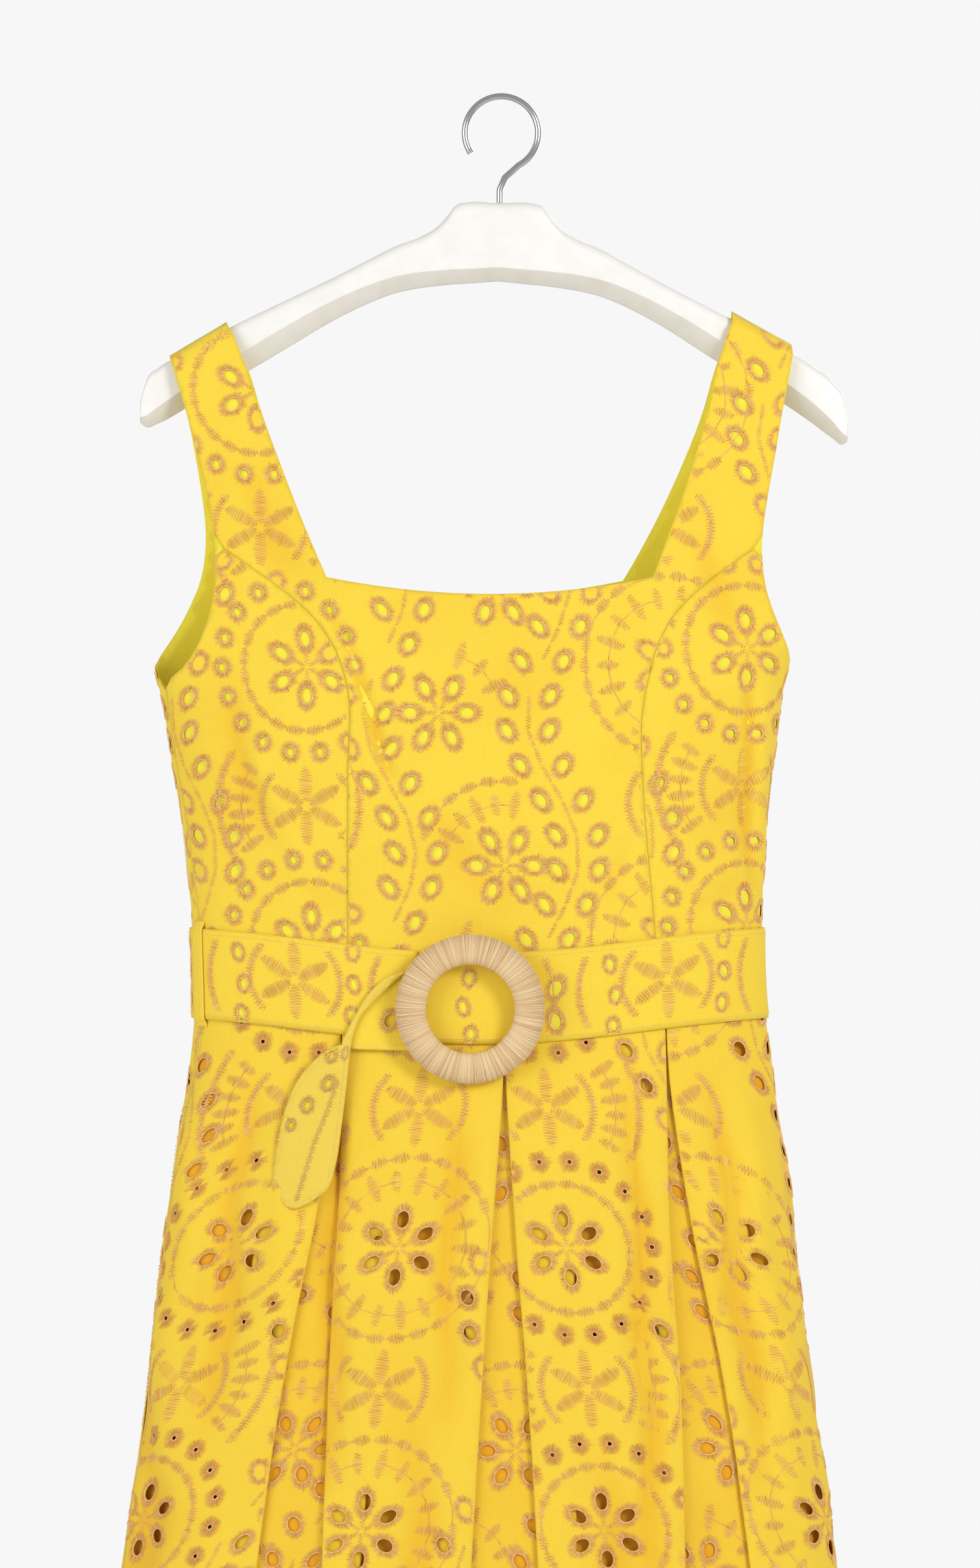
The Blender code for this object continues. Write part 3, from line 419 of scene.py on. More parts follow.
def in_holes(points, holes, margin):
    """Which points lie in a hole, or nearer to its edge than the margin."""
    found = np.zeros(len(points), bool)
    for hole in holes:
        reach = hole[3] + margin + 0.001
        near = np.flatnonzero(
            (np.abs(points[:, 0] - hole[0]) < reach) & (np.abs(points[:, 1] - hole[1]) < reach)
        )
        if len(near):
            grown = (hole[0], hole[1], hole[2] + margin, hole[3] + margin, hole[4])
            found[near] |= hole_share(points[near], grown) < 1
    return found


def hole_points(hole, sides):
    """Points round an oval hole."""
    x, z, wide, long, angle = hole
    turn = np.linspace(0, math.tau, sides, endpoint=False)
    across, along = wide * np.sin(turn), long * np.cos(turn)
    return np.stack(
        [
            x + across * math.cos(angle) + along * math.sin(angle),
            z - across * math.sin(angle) + along * math.cos(angle),
        ],
        axis=-1,
    )


def cut_sheet(outline, fill, holes, sides=16):
    """Flat points and triangles of an outline with its holes left out."""
    loops = [np.asarray(outline)] + [hole_points(hole, sides) for hole in holes]
    edges, start = [], 0
    for loop in loops:
        edges += [(start + i, start + (i + 1) % len(loop)) for i in range(len(loop))]
        start += len(loop)
    points = np.concatenate([*loops, fill])
    found = delaunay_2d_cdt([Vector(p) for p in points], edges, [], 0, 1e-6)
    flat = np.array([tuple(p) for p in found[0]])
    triangles = np.array([tuple(t) for t in found[2]])
    middles = flat[triangles].mean(axis=1)
    keep = inside(middles, outline) & ~in_holes(middles, holes, -0.0001)
    triangles = triangles[keep]
    used, triangles = np.unique(triangles, return_inverse=True)
    return flat[used], triangles.reshape(-1, 3)


def grid_fill(outline, holes, step, edge_room):
    """Even rows of points in an outline, clear of its edge and its holes."""
    low, high = np.min(outline, axis=0), np.max(outline, axis=0)
    rows = np.arange(low[1], high[1], step * 0.87)
    points = [
        (x + (i % 2) * step / 2, z) for i, z in enumerate(rows) for x in np.arange(low[0], high[0], step)
    ]
    points = np.array(points)
    points = points[inside(points, outline)]
    points = points[edge_distance(points, outline) > edge_room]
    return points[~in_holes(points, holes, step * 0.3)]


print("cutting helpers ready")

# %% [markdown]
# ## From a flat cut to a piece
#
# A cut becomes a mesh that keeps its flat pattern as a UV map, so its weave runs straight on every
# piece, and a Solidify modifier gives it the cloth's thickness. Modelling both faces would also work,
# but then every crease would have to be made twice.


# %% Helpers that make a piece
def grid_triangles(rows, across):
    """Two triangles for every cell of a grid of points."""
    corners = [i * across + j for i in range(rows - 1) for j in range(across - 1)]
    cells = [((a, a + across, a + across + 1), (a, a + across + 1, a + 1)) for a in corners]
    return np.array([triangle for cell in cells for triangle in cell])


def linked(name, data):
    """A new object in the scene, at the origin."""
    obj = bpy.data.objects.new(name, data)
    scene.collection.objects.link(obj)
    return obj


def new_object(name, points, faces=()):
    """A mesh object at the origin, its points where they are given."""
    mesh = bpy.data.meshes.new(name)
    mesh.from_pydata([tuple(p) for p in points], [], faces)
    return linked(name, mesh)


def face_out(mesh, merge_under=0.0):
    """Turns every face outwards, once points closer than a distance are merged."""
    work = bmesh.new()
    work.from_mesh(mesh)
    if merge_under:
        bmesh.ops.remove_doubles(work, verts=work.verts, dist=merge_under)
    bmesh.ops.recalc_face_normals(work, faces=work.faces)
    work.to_mesh(mesh)
    work.free()


def cloth_object(name, flat, triangles, places, look, thickness, painted_shade=0.0):
    """A sheet with the pattern's own place as a UV map, and how much painted shade each point gets."""
    obj = new_object(name, places, [tuple(t) for t in triangles.tolist()])
    mesh = obj.data
    uv = mesh.uv_layers.new(name="pattern")
    corners = np.zeros(len(mesh.loops), int)
    mesh.loops.foreach_get("vertex_index", corners)
    uv.data.foreach_set("uv", flat[corners].astype(np.float32).ravel())
    depth = np.broadcast_to(np.asarray(painted_shade, np.float32), len(flat))
    mesh.attributes.new("painted_shade", "FLOAT", "POINT").data.foreach_set("value", depth.astype(np.float32))
    mesh.materials.append(look)
    mesh.shade_smooth()
    wall = obj.modifiers.new("Wall", "SOLIDIFY")
    wall.thickness = thickness
    wall.offset = 0.0
    wall.use_quality_normals = True
    return obj


def finish_piece(obj, slot, *nodes):
    """Rides on the frame in the place of the CAD nodes it stands for."""
    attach(obj, "root")
    if nodes:
        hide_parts(*nodes)
    return obj


print("piece helpers ready")

# %% [markdown]
# ## Creases
#
# Hanging cotton is never quite smooth. Each crease is a soft trough or ridge along a short line, with
# its own depth and width, and a low slow swell lies under them all. They move the cloth along its
# own normal, so the embroidery on it follows. A cloth simulation finds creases by chance, and these
# are where the photo has them.

# %% Main creases
# p, z from; p, z to; height (below 0 for a trough), half width
BODICE_CREASES = (
    (-0.100, -0.300, -0.076, -0.360, -0.0040, 0.0042),
    (-0.084, -0.345, -0.058, -0.410, -0.0042, 0.0038),
    (-0.104, -0.296, -0.074, -0.352, 0.0018, 0.0060),
    (-0.140, -0.215, -0.120, -0.290, -0.0014, 0.0100),
    (-0.150, -0.230, -0.140, -0.300, 0.0014, 0.0080),
    (0.150, -0.330, 0.157, -0.480, -0.0030, 0.0048),
    (0.161, -0.345, 0.168, -0.470, 0.0020, 0.0060),
    (0.118, -0.260, 0.150, -0.330, -0.0018, 0.0080),
    (0.098, -0.310, 0.070, -0.350, 0.0016, 0.0090),
    (-0.160, -0.350, -0.135, -0.450, -0.0020, 0.0085),
    (-0.142, -0.380, -0.118, -0.470, 0.0016, 0.0080),
    (-0.030, -0.425, 0.000, -0.500, -0.0016, 0.0120),
    (0.020, -0.420, 0.046, -0.505, 0.0016, 0.0100),
    (-0.120, -0.470, -0.080, -0.500, -0.0018, 0.0070),
    (0.110, -0.490, 0.150, -0.465, -0.0016, 0.0065),
    (0.074, -0.440, 0.066, -0.500, -0.0014, 0.0070),
)
BACK_CREASES = (
    (-0.095, -0.300, -0.058, -0.370, -0.0022, 0.0070),
    (0.090, -0.295, 0.066, -0.360, -0.0024, 0.0065),
    (0.150, -0.340, 0.140, -0.470, -0.0016, 0.0090),
    (-0.150, -0.345, -0.158, -0.480, 0.0014, 0.0080),
    (-0.050, -0.460, 0.020, -0.490, -0.0014, 0.0080),
    (0.030, -0.400, 0.060, -0.490, 0.0012, 0.0110),
)
SKIRT_CREASES = (
    (-0.152, -0.575, -0.176, -0.800, -0.0040, 0.0085),
    (-0.180, -0.560, -0.225, -0.860, 0.0036, 0.0110),
    (-0.128, -0.575, -0.140, -0.760, 0.0034, 0.0080),
    (-0.062, -0.565, -0.070, -0.730, 0.0024, 0.0080),
    (-0.098, -0.570, -0.104, -0.840, -0.0042, 0.0070),
    (-0.028, -0.590, -0.036, -0.790, -0.0034, 0.0070),
    (-0.012, -0.600, -0.020, -0.780, 0.0020, 0.0070),
    (0.028, -0.585, 0.040, -0.740, 0.0016, 0.0100),
    (0.074, -0.560, 0.090, -0.900, -0.0046, 0.0060),
    (0.060, -0.570, 0.070, -0.820, 0.0022, 0.0070),
    (0.124, -0.575, 0.160, -0.840, -0.0040, 0.0080),
    (0.142, -0.570, 0.184, -0.860, 0.0038, 0.0090),
    (0.170, -0.560, 0.235, -0.900, -0.0034, 0.0110),
    (-0.086, -0.680, -0.080, -0.860, 0.0022, 0.0090),
    (-0.210, -0.720, -0.260, -1.240, -0.0056, 0.0150),
    (-0.170, -0.820, -0.190, -1.260, 0.0046, 0.0140),
    (-0.100, -0.820, -0.125, -1.250, 0.0044, 0.0140),
    (-0.050, -0.780, -0.060, -1.200, -0.0044, 0.0120),
    (0.060, -0.800, 0.080, -1.220, -0.0048, 0.0130),
    (0.220, -0.780, 0.290, -1.260, -0.0056, 0.0160),
    (0.180, -0.840, 0.225, -1.260, 0.0044, 0.0140),
    (0.130, -0.900, 0.150, -1.270, 0.0036, 0.0140),
)


def creases(p, z, table, swell=0.0007):
    """How far the cloth stands off its form at each point."""
    p, z = np.broadcast_arrays(np.asarray(p, float), np.asarray(z, float))
    lift = swell * (
        np.sin(31 * p + 17 * z + 1.0) * np.sin(23 * z - 9 * p)
        + 0.6 * np.sin(74 * p - 41 * z + 2.0) * np.sin(52 * z + 33 * p + 0.5)
    )
    for i, (pa, za, pb, zb, high, half) in enumerate(table):
        dp, dz = pb - pa, zb - za
        long = math.hypot(dp, dz)
        along = ((p - pa) * dp + (z - za) * dz) / long
        off = ((p - pa) * dz - (z - za) * dp) / long
        off = off + 0.35 * half * np.sin(along * 55 + i)
        t = np.clip(along / long, -0.3, 1.3)
        ends = np.clip(1 - np.abs(2 * t - 1) ** 3, 0, 1)
        width = half * (0.7 + 0.5 * t)
        lift = lift + high * ends * np.exp(-((off / width) ** 2))
    return lift


print("creases:", len(BODICE_CREASES) + len(BACK_CREASES) + 2 * len(SKIRT_CREASES))

# %% [markdown]
# ## Inverted pleats
#
# The skirt is a flat sheet folded at three pleats. At each height a cut across it is worked out:
# for a place w on the flat pattern, where it goes round the form and how deep it lies. The pleats
# are closed at the waist and gape more towards the hem. Folding a mesh by hand is the usual way, but
# this rule also carries every eyelet and stitch into the fold.

# %% The cut across the pleated skirt
LAYER = 0.0021
UNDERLAY_HALF = 0.042
PLEAT_CLOSED = 0.0017
BELT_HALF = 0.0268
# z, gape, side_place
PLEATS = (
    (-0.500, PLEAT_CLOSED, 0.0955),
    (-0.579, PLEAT_CLOSED, 0.0970),
    (-0.660, 0.0120, 0.1040),
    (-0.749, 0.0250, 0.1160),
    (-0.900, 0.0430, 0.1290),
    (-1.100, 0.0620, 0.1460),
    (-1.330, 0.0740, 0.1640),
)


def pleat_keys():
    """For every level: pattern place w, arc p and inset of each corner of the cut."""
    gape, side_place = columns(PLEATS, LEVELS).T
    width = FRONT
    keys = []
    top, middle, under = OUTER, OUTER + LAYER, OUTER + 2 * LAYER
    tuck = UNDERLAY_HALF

    def add(p, inset):
        keys.append((p + 0 * width, inset + 0 * width))

    def turn(p, start, end, way):
        for part in (0.0, 0.25, 0.5, 0.75, 1.0):
            bulge = math.sin(math.pi * part)
            add(p - way * LAYER / 2 * (1 - bulge), start + (end - start) * part)

    add(0.0, under)
    add(tuck * 0.5, under)
    turn(tuck, under, middle, 1)
    turn(gape / 2, middle, top, -1)
    near, far = side_place - gape / 2, side_place + gape / 2
    for part in (0.15, 0.35, 0.68, 0.85):
        add(gape / 2 + (near - gape / 2) * part, top)
    turn(near, top, middle, 1)
    add((near + side_place - tuck) / 2, middle)
    turn(side_place - tuck, middle, under, -1)
    for part in (-0.5, 0.0, 0.5):
        add(side_place + part * tuck, under)
    turn(side_place + tuck, under, middle, 1)
    add((far + side_place + tuck) / 2, middle)
    turn(far, middle, top, -1)
    for part in (0.15, 0.3, 0.55, 0.70, 0.77, 0.83, 0.89, 0.95):
        add(far + (width - far) * part, top)
    add(width - SEAM, top)
    p, inset = (np.array([key[i] for key in keys]).T for i in (0, 1))
    steps = np.hypot(np.diff(p, axis=1), np.diff(inset, axis=1))
    return np.concatenate([np.zeros((len(p), 1)), np.cumsum(steps, axis=1)], axis=1), p, inset


KEY_W, KEY_P, KEY_INSET = pleat_keys()


def folded(w, z):
    """Where a point of the flat skirt goes: its arc p and its inset."""
    w, z = (np.array(v, float) for v in np.broadcast_arrays(w, z))
    row, up = level_of(z)
    up = up[..., None]
    places = KEY_W[row] * (1 - up) + KEY_W[row + 1] * up
    reach = np.minimum(np.abs(w), places[..., -1])
    at = np.clip((places <= reach[..., None]).sum(axis=-1) - 1, 0, places.shape[-1] - 2)[..., None]
    start, end = (np.take_along_axis(places, at + i, -1)[..., 0] for i in (0, 1))
    t = (reach - start) / np.maximum(end - start, 1e-9)

    def mixed(values):
        rows = values[row] * (1 - up) + values[row + 1] * up
        a, b = (np.take_along_axis(rows, at + i, -1)[..., 0] for i in (0, 1))
        return a * (1 - t) + b * t

    return np.sign(w) * mixed(KEY_P), mixed(KEY_INSET)


def skirt_outline(hem):
    """The flat skirt: waist across, sides down, hem back."""
    def side_w(z):
        return per_level(KEY_W[:, -1], z)

    top = np.linspace(-1, 1, 90) * float(side_w(WAIST))
    waist = [(w, float(waist_height(folded(w, WAIST)[0])) - SEAM) for w in top]
    drops = np.linspace(waist[0][1] - 0.012, hem, 90)
    right = [(float(side_w(z)), z) for z in drops]
    low = [(w, hem) for w in np.linspace(right[-1][0], -right[-1][0], 120)[1:-1]]
    left = [(-w, z) for w, z in reversed(right)]
    return waist + right + low + left


FILL_FROM = -0.526
FINE_ROW, FINE_STEP = 0.0046, 0.0048
WIDE_ROW, WIDE_STEP = 0.0080, 0.0100


def skirt_fill(outline, holes, fine_above):
    """Columns of points that follow the folds, in rows down the skirt."""
    widths = np.diff(KEY_W[level_of(-1.0)[0]])
    points = []
    seen = np.arange(FILL_FROM, fine_above, -FINE_ROW)
    low = np.arange(seen[-1] - 0.0066, HEM + 0.003, -WIDE_ROW)
    for z in np.concatenate([seen, low]):
        row = KEY_W[level_of(z)[0]]
        for i, wide in enumerate(widths):
            parts = max(1, int(round(wide / (FINE_STEP if z > fine_above else WIDE_STEP))))
            for part in range(parts):
                w = row[i] + (row[i + 1] - row[i]) * part / parts
                points += [(w, z), (-w, z)] if w > 0 else [(w, z)]
    points = np.array(points)
    points = points[inside(points, outline)]
    points = points[edge_distance(points, outline) > 0.0014]
    return points[~in_holes(points, holes, 0.0012)]


skirt_edge = skirt_outline(HEM)
print("flat skirt half width at the hem:", round(max(w for w, _ in skirt_edge), 3))

# %% [markdown]
# ## The embroidery repeat
#
# Broderie anglaise repeats one block of ordinary motifs across the cloth: eyelet flowers, medallions,
# leaf sprays, suns and satin flowers, joined by running thread. Each motif is kept as a few facts, an
# eye, a satin bar or a thread, and the stitches are worked out from those. Modelling one block by hand
# would also do, but a motif could then not be moved or turned alone.

# %% Motifs of one repeat
REPEAT_WIDTH = 0.480
REPEAT_HEIGHT = 0.164
HALF_REPEAT = 0.240
BELT_REPEAT = 0.219
PETAL_RADIUS = 0.0168
PETAL = (0.0036, 0.0050, 0.0066, 0.0096)
ROUND_EYE = (0.0030, 0.0030, 0.0067, 0.0067)
LEAF = (0.0036, 0.0049, 0.0066, 0.0090)
BELT_EYE = (0.0026, 0.0038, 0.0052, 0.0066)
BUNCH_HOLE = 0.0013


def round_about(x, z, radius, angle):
    """A point at a distance and angle from another, the angle from straight up."""
    return x + radius * math.sin(angle), z + radius * math.cos(angle)


class Motifs:
    """The eyes, satin bars and running threads of one block of embroidery."""

    def __init__(self, width, height):
        self.width, self.height = width, height
        self.eyes, self.bars, self.threads = [], [], []

    def away(self, x, z):
        """The shortest way across the block's borders."""
        x = (x + self.width / 2) % self.width - self.width / 2
        z = (z + self.height / 2) % self.height - self.height / 2
        return math.hypot(x, z)

    def free(self, x, z, room):
        """Whether a place is clear of every eye."""
        return all(
            self.away(x - eye[0], z - eye[1]) > 0.86 * (room + 0.5 * (eye[4] + eye[5])) for eye in self.eyes
        )

    def eye(self, x, z, shape, angle=0.0):
        if self.free(x, z, (shape[2] + shape[3]) / 2):
            self.eyes.append((x, z, *shape, angle))

    def bar(self, x, z, long, wide, angle):
        if self.free(x, z, wide * 0.4):
            self.bars.append((x, z, long, wide, angle))

    def flower(self, x, z, turn):
        """Six petal eyelets with a short bar from each to the middle."""
        for petal in range(6):
            angle = math.radians(60 * petal + turn)
            self.eye(*round_about(x, z, PETAL_RADIUS, angle), PETAL, angle)
            self.bars.append((*round_about(x, z, 0.0052, angle), 0.0075, 0.0022, angle))

    def row(self, x, z, radius, count, sizes, lean, start=0.0, end=360.0):
        """Satin bars along an arc, in turn of each size, joined by a running thread."""
        last = None
        for i in range(count):
            angle = math.radians(start + (end - start) * (i + 0.5) / count)
            here = round_about(x, z, radius, angle)
            self.bar(*here, *sizes[i % len(sizes)], angle + lean)
            if last is not None:
                self.threads.append((*last, *here))
            last = here

    def lozenges(self, x, z, radius, count, start=0.0, end=360.0, sizes=((0.0105, 0.0054),)):
        self.row(x, z, radius, count, sizes, math.pi / 2, start, end)

    def ticks(self, x, z, radius, count, start=0.0, end=360.0):
        self.row(x, z, radius, count, ((0.0170, 0.0056), (0.0130, 0.0050)), 0.0, start, end)

    def satin_flower(self, x, z, rays):
        """Six solid petals between two curved rows, with rays on both sides."""
        for petal in range(6):
            angle = math.radians(60 * petal)
            self.bars.append((*round_about(x, z, 0.0128, angle), 0.0205, 0.0074, angle))
        for start in (48, 228):
            self.lozenges(x, z, 0.0270, 10, start, start + 84, ((0.0076, 0.0046),))
            if rays:
                self.ticks(x, z, 0.0405, 6, start + 2, start + 82)
                self.lozenges(x, z, 0.0545, 8, start + 6, start + 78)

    def spray(self, base, first, count):
        """A leafy S-curved stem, its leaves eyelets in pairs."""
        last = None
        for leaf in range(count):
            z = first - leaf * REPEAT_HEIGHT / 8
            x = base - 0.015 * math.cos(math.tau * (z + 0.028) / REPEAT_HEIGHT)
            for hand in (-1, 1):
                self.eye(x + hand * 0.0125, z, LEAF, math.radians(38) * hand)
            if last is not None:
                angle = math.atan2(x - last[0], z - last[1])
                for part in (0.25, 0.75):
                    middle = (last[0] + (x - last[0]) * part, last[1] + (z - last[1]) * part)
                    self.bars.append((*middle, 0.0104, 0.0023, angle))
            last = (x, z)


cloth_block = Motifs(REPEAT_WIDTH, REPEAT_HEIGHT)
for half in (0.0, HALF_REPEAT):
    cloth_block.flower(half + 0.101, -0.028, 30)
    cloth_block.flower(half + 0.139, -0.118, 30)
    cloth_block.flower(half, 0.0, 0)
for i in range(18):
    cloth_block.eye(*round_about(0.0, 0.0, 0.051, math.tau * (i + 0.5) / 18), ROUND_EYE)
for half in (0.0, HALF_REPEAT):
    cloth_block.spray(half + 0.072, -0.008, 8)
    cloth_block.spray(half + 0.168, -0.018, 8)
    cloth_block.satin_flower(half, -0.082, half == 0.0)
    cloth_block.ticks(half + 0.139, -0.118, 0.036, 5, -70, 20)
    cloth_block.lozenges(half + 0.139, -0.118, 0.050, 6, -74, 12)
    cloth_block.ticks(half + 0.101, -0.028, 0.036, 3, 10, 75)
cloth_block.lozenges(0.0, 0.0, 0.0375, 20, sizes=((0.0112, 0.0052),))
cloth_block.ticks(HALF_REPEAT, 0.0, 0.0395, 18)
cloth_block.lozenges(HALF_REPEAT, 0.0, 0.0530, 26)

# aside, up, larger
BELT_COLUMNS = (
    (0.035, 0.0225, 0), (0.035, 0.0035, 0), (0.033, -0.0150, 0),
    (-0.034, 0.0150, 0), (-0.031, -0.0035, 0), (-0.033, -0.0215, 0),
    (-0.066, 0.0040, 1), (-0.067, -0.0150, 1),
    (-0.117, 0.0120, 0), (-0.121, -0.0050, 0), (-0.117, -0.0210, 0),
)
belt_block = Motifs(BELT_REPEAT, 10.0)
for i, (aside, up, larger) in enumerate(BELT_COLUMNS):
    lean = math.radians(28 - 40 * (i % 2)) * (1 + larger) / 2
    belt_block.eye(aside, up, PETAL if larger else BELT_EYE, lean)
belt_block.satin_flower(0.0, 0.002, False)
for middle, start, end, count in ((-0.110, 60, 120, 9), (-0.0100, 242, 298, 9), (0.0880, 240, 300, 9)):
    belt_block.lozenges(middle, 0.0, 0.043, count, start, end, ((0.0072, 0.0044),))
print("one repeat:", len(cloth_block.eyes), "eyelets,", len(cloth_block.bars), "satin bars")

# %% [markdown]
# ## From motifs to stitches
#
# Each eye is overcast with stitches that run out from its hole, and each bar is filled with stitches
# across it. Their ends are uneven, as on the real cloth, which gives the ragged outer edge. A picture
# of thread would be lighter, but real strips catch the light along each stitch.


# %% Stitches of one repeat
THREAD = 0.00030
RIM = 0.00070
LOW_EVERY = 3
LOW_WIDER = 2.4


def eye_stitches(x, z, wide, long, out_wide, out_long, angle, bunched=False):
    """Fine loops that run out from an oval hole, and a close rim round it. A bunched one is drawn in, its
    loops darkened as painted shade.
    """
    around = math.pi * (wide + long + out_wide + out_long) / 2
    count = 2 * int(around / (0.00105 if bunched else 0.00118))
    inner = np.arange(0, count, 2)
    turn = (np.arange(count) + rng.uniform(-0.25, 0.25, count)) * math.tau / count
    reach = 1 + rng.normal(0, 0.04, count) + 0.08 * (rng.random(count) > 0.9)
    drawn_in = 1.0
    if bunched:
        reach *= 0.95 + 0.05 * np.sin(5 * turn + rng.uniform(0, math.tau))
        drawn_in = rng.uniform(0.36, 0.8, len(inner))
    across = out_wide * reach * np.sin(turn)
    along = out_long * reach * np.cos(turn)
    across[inner] = (wide + 0.0001) * drawn_in * np.sin(turn[inner])
    along[inner] = (long + 0.0001) * drawn_in * np.cos(turn[inner])
    points = np.stack([across, along])
    made = placed(points, np.roll(points, -1, axis=1), x, z, angle, THREAD)
    if bunched:
        # painted shade: the loops of a bunched eyelet get a darker tone, for the shade in its gathered
        # middle
        made[:, 5] *= 0.55
        wide = long = BUNCH_HOLE
    steps = np.arange(18) * math.tau / 18
    rim = np.stack([(wide + 0.00025) * np.sin(steps), (long + 0.00025) * np.cos(steps)])
    edge = placed(rim, np.roll(rim, -1, axis=1), x, z, angle, RIM)
    edge[:, 5] *= 0.9
    return np.concatenate([made, edge])


def bar_stitches(x, z, long, wide, angle):
    """Open loops of satin stitches that fill a lozenge."""
    count = max(9, int(long / 0.00078))
    t = np.linspace(-1, 1, count)
    half = wide / 2 * (1 - t**2) ** 0.5 * rng.uniform(0.82, 1.15, count) + 0.0003
    points = np.stack([half * np.where(np.arange(count) % 2, 1, -1), t * long / 2])
    return placed(points[:, :-1], points[:, 1:], x, z, angle, THREAD)


def thread_stitches(ax, az, bx, bz):
    """A running thread between two motifs."""
    along = math.hypot(bx - ax, bz - az)
    count = max(2, int(along / 0.0026))
    t = np.linspace(0, 1, count + 1)
    points = np.stack([ax + (bx - ax) * t, az + (bz - az) * t]) + rng.normal(0, 0.0002, (2, count + 1))
    return lines(points[:, :-1], points[:, 1:], 0.00042)


def placed(start, end, x, z, angle, width):
    """Stitches of a motif drawn upright at the origin, turned and moved to its place."""
    turn = np.array([[math.cos(angle), math.sin(angle)], [-math.sin(angle), math.cos(angle)]])
    shift = np.array([[x], [z]])
    return lines(turn @ start + shift, turn @ end + shift, width)


def lines(start, end, width):
    """A row of facts for each stitch: its two ends, its width and its tone."""
    count = start.shape[1]
    tone = np.clip(rng.normal(0.5, 0.18, count), 0, 1)
    return np.column_stack([start.T, end.T, np.full(count, width), tone])


def all_stitches(block, bunched=False):
    """Every stitch of a block. Where its cloth is bunched, the small round eyelets are drawn in."""
    made = [eye_stitches(*eye, bunched=bunched and eye[2] == ROUND_EYE[0]) for eye in block.eyes]
    made += [bar_stitches(*bar) for bar in block.bars]
    made += [thread_stitches(*thread) for thread in block.threads]
    return np.concatenate(made)


cloth_block.stitches = all_stitches(cloth_block)
cloth_block.bunched = all_stitches(cloth_block, True)
belt_block.stitches = all_stitches(belt_block)


def tiles(outline, block, origin):
    """Where each copy of the block starts, over the box of an outline."""
    local = np.asarray(outline) - origin
    low, high = local.min(axis=0), local.max(axis=0)
    across = range(math.floor(low[0] / block.width) - 1, math.ceil(high[0] / block.width) + 1)
    rows = range(math.floor(low[1] / block.height), math.ceil(high[1] / block.height) + 2)
    if block.height > 1.0:
        rows = (0,)
    return [(i * block.width + origin[0], j * block.height + origin[1]) for i in across for j in rows]


def pattern_holes(outline, block, origin, bunched=False):
    """Every open eyelet of the block that lies whole on a piece."""
    found = []
    for shift in tiles(outline, block, origin):
        middles = np.array([eye[:2] for eye in block.eyes]) + shift
        keep = inside(middles, outline)
        room = edge_distance(middles[keep], outline) if keep.any() else []
        kept = [eye for eye, k in zip(block.eyes, keep) if k]
        for middle, eye, near in zip(middles[keep], kept, room):
            wide, long = eye[2:4]
            if bunched and wide == ROUND_EYE[0]:
                wide = long = BUNCH_HOLE
            if near > long + 0.0012:
                found.append((*middle, wide, long, eye[6]))
    return found


def pattern_stitches(outline, block, origin, bunched=False, coarse_below=-9.0):
    """Every stitch of the block on a piece. Low down only some are kept, and made wider."""
    found = []
    repeat = block.bunched if bunched else block.stitches
    box_low, box_high = np.min(outline, axis=0), np.max(outline, axis=0)
    for shift in tiles(outline, block, origin):
        moved = repeat.copy()
        moved[:, :4] += (*shift, *shift)
        keep = ((moved[:, :2] > box_low) & (moved[:, :2] < box_high)).all(axis=1)
        if not keep.any():
            continue
        thin = moved[:, 1] < coarse_below
        keep &= ~thin | (np.arange(len(moved)) % LOW_EVERY == 0)
        moved[thin, 4] *= LOW_WIDER
        moved = moved[keep]
        ok = inside(moved[:, :2], outline) & inside(moved[:, 2:4], outline)
        found.append(moved[ok])
    return np.concatenate(found)


print("stitches in one repeat:", len(cloth_block.stitches))

# %% [markdown]
# ## Finishes
#
# A small class wraps a shader socket, so a mask or a weave can be written as a formula. Each finish
# is built from it: the cotton has a plain weave with slubs and a painted shade of deeper gold in its
# folds, the threads take a tone of their own from the mesh, and the painted hanger has a faint
# unevenness and a darker painted shade copy on its bevel. Image textures would be quicker to apply but
# would tie the colours to one picture.


# %% Node helpers
class Value:
    """A node's output that can be used in formulas."""

    def __init__(self, tree, socket):
        self.tree, self.socket = tree, socket

    def math(self, operation, *others):
        return self.tree.node("ShaderNodeMath", self, *others, operation=operation)

    def __add__(self, other):
        return self.math("ADD", other)

    def __mul__(self, other):
        return self.math("MULTIPLY", other)

    def __sub__(self, other):
        return self.math("SUBTRACT", other)

    def __rsub__(self, other):
        return self.math("MULTIPLY", -1.0).math("ADD", other)

    def __truediv__(self, other):
        return self.math("DIVIDE", other)

    __radd__ = __add__
    __rmul__ = __mul__

    def sin(self):
        return self.math("SINE")

    def clamp(self):
        return self.math("MINIMUM", 1.0).math("MAXIMUM", 0.0)

    def span(self, low, high):
        """0 below low, 1 above high, straight between."""
        return ((self - low) / (high - low)).clamp()


class Tree:
    """A node tree whose nodes are added, set and joined in one call each."""

    def __init__(self, group):
        self.group = group

    def feed(self, socket, value):
        if isinstance(value, Value):
            self.group.links.new(value.socket, socket)
        else:
            socket.default_value = value

    def node(self, kind, *first, output=0, **given):
        """Adds a node. Its first inputs come in order, capital names are sockets, small ones settings."""
        made = self.group.nodes.new(kind)
        for name, value in given.items():
            if name[0].islower():
                setattr(made, name, value)
        for socket, value in zip(made.inputs, first):
            self.feed(socket, value)
        for name, value in given.items():
            if name[0].isupper():
                self.feed(made.inputs[name.replace("_", " ")], value)
        return Value(self, made.outputs[output])


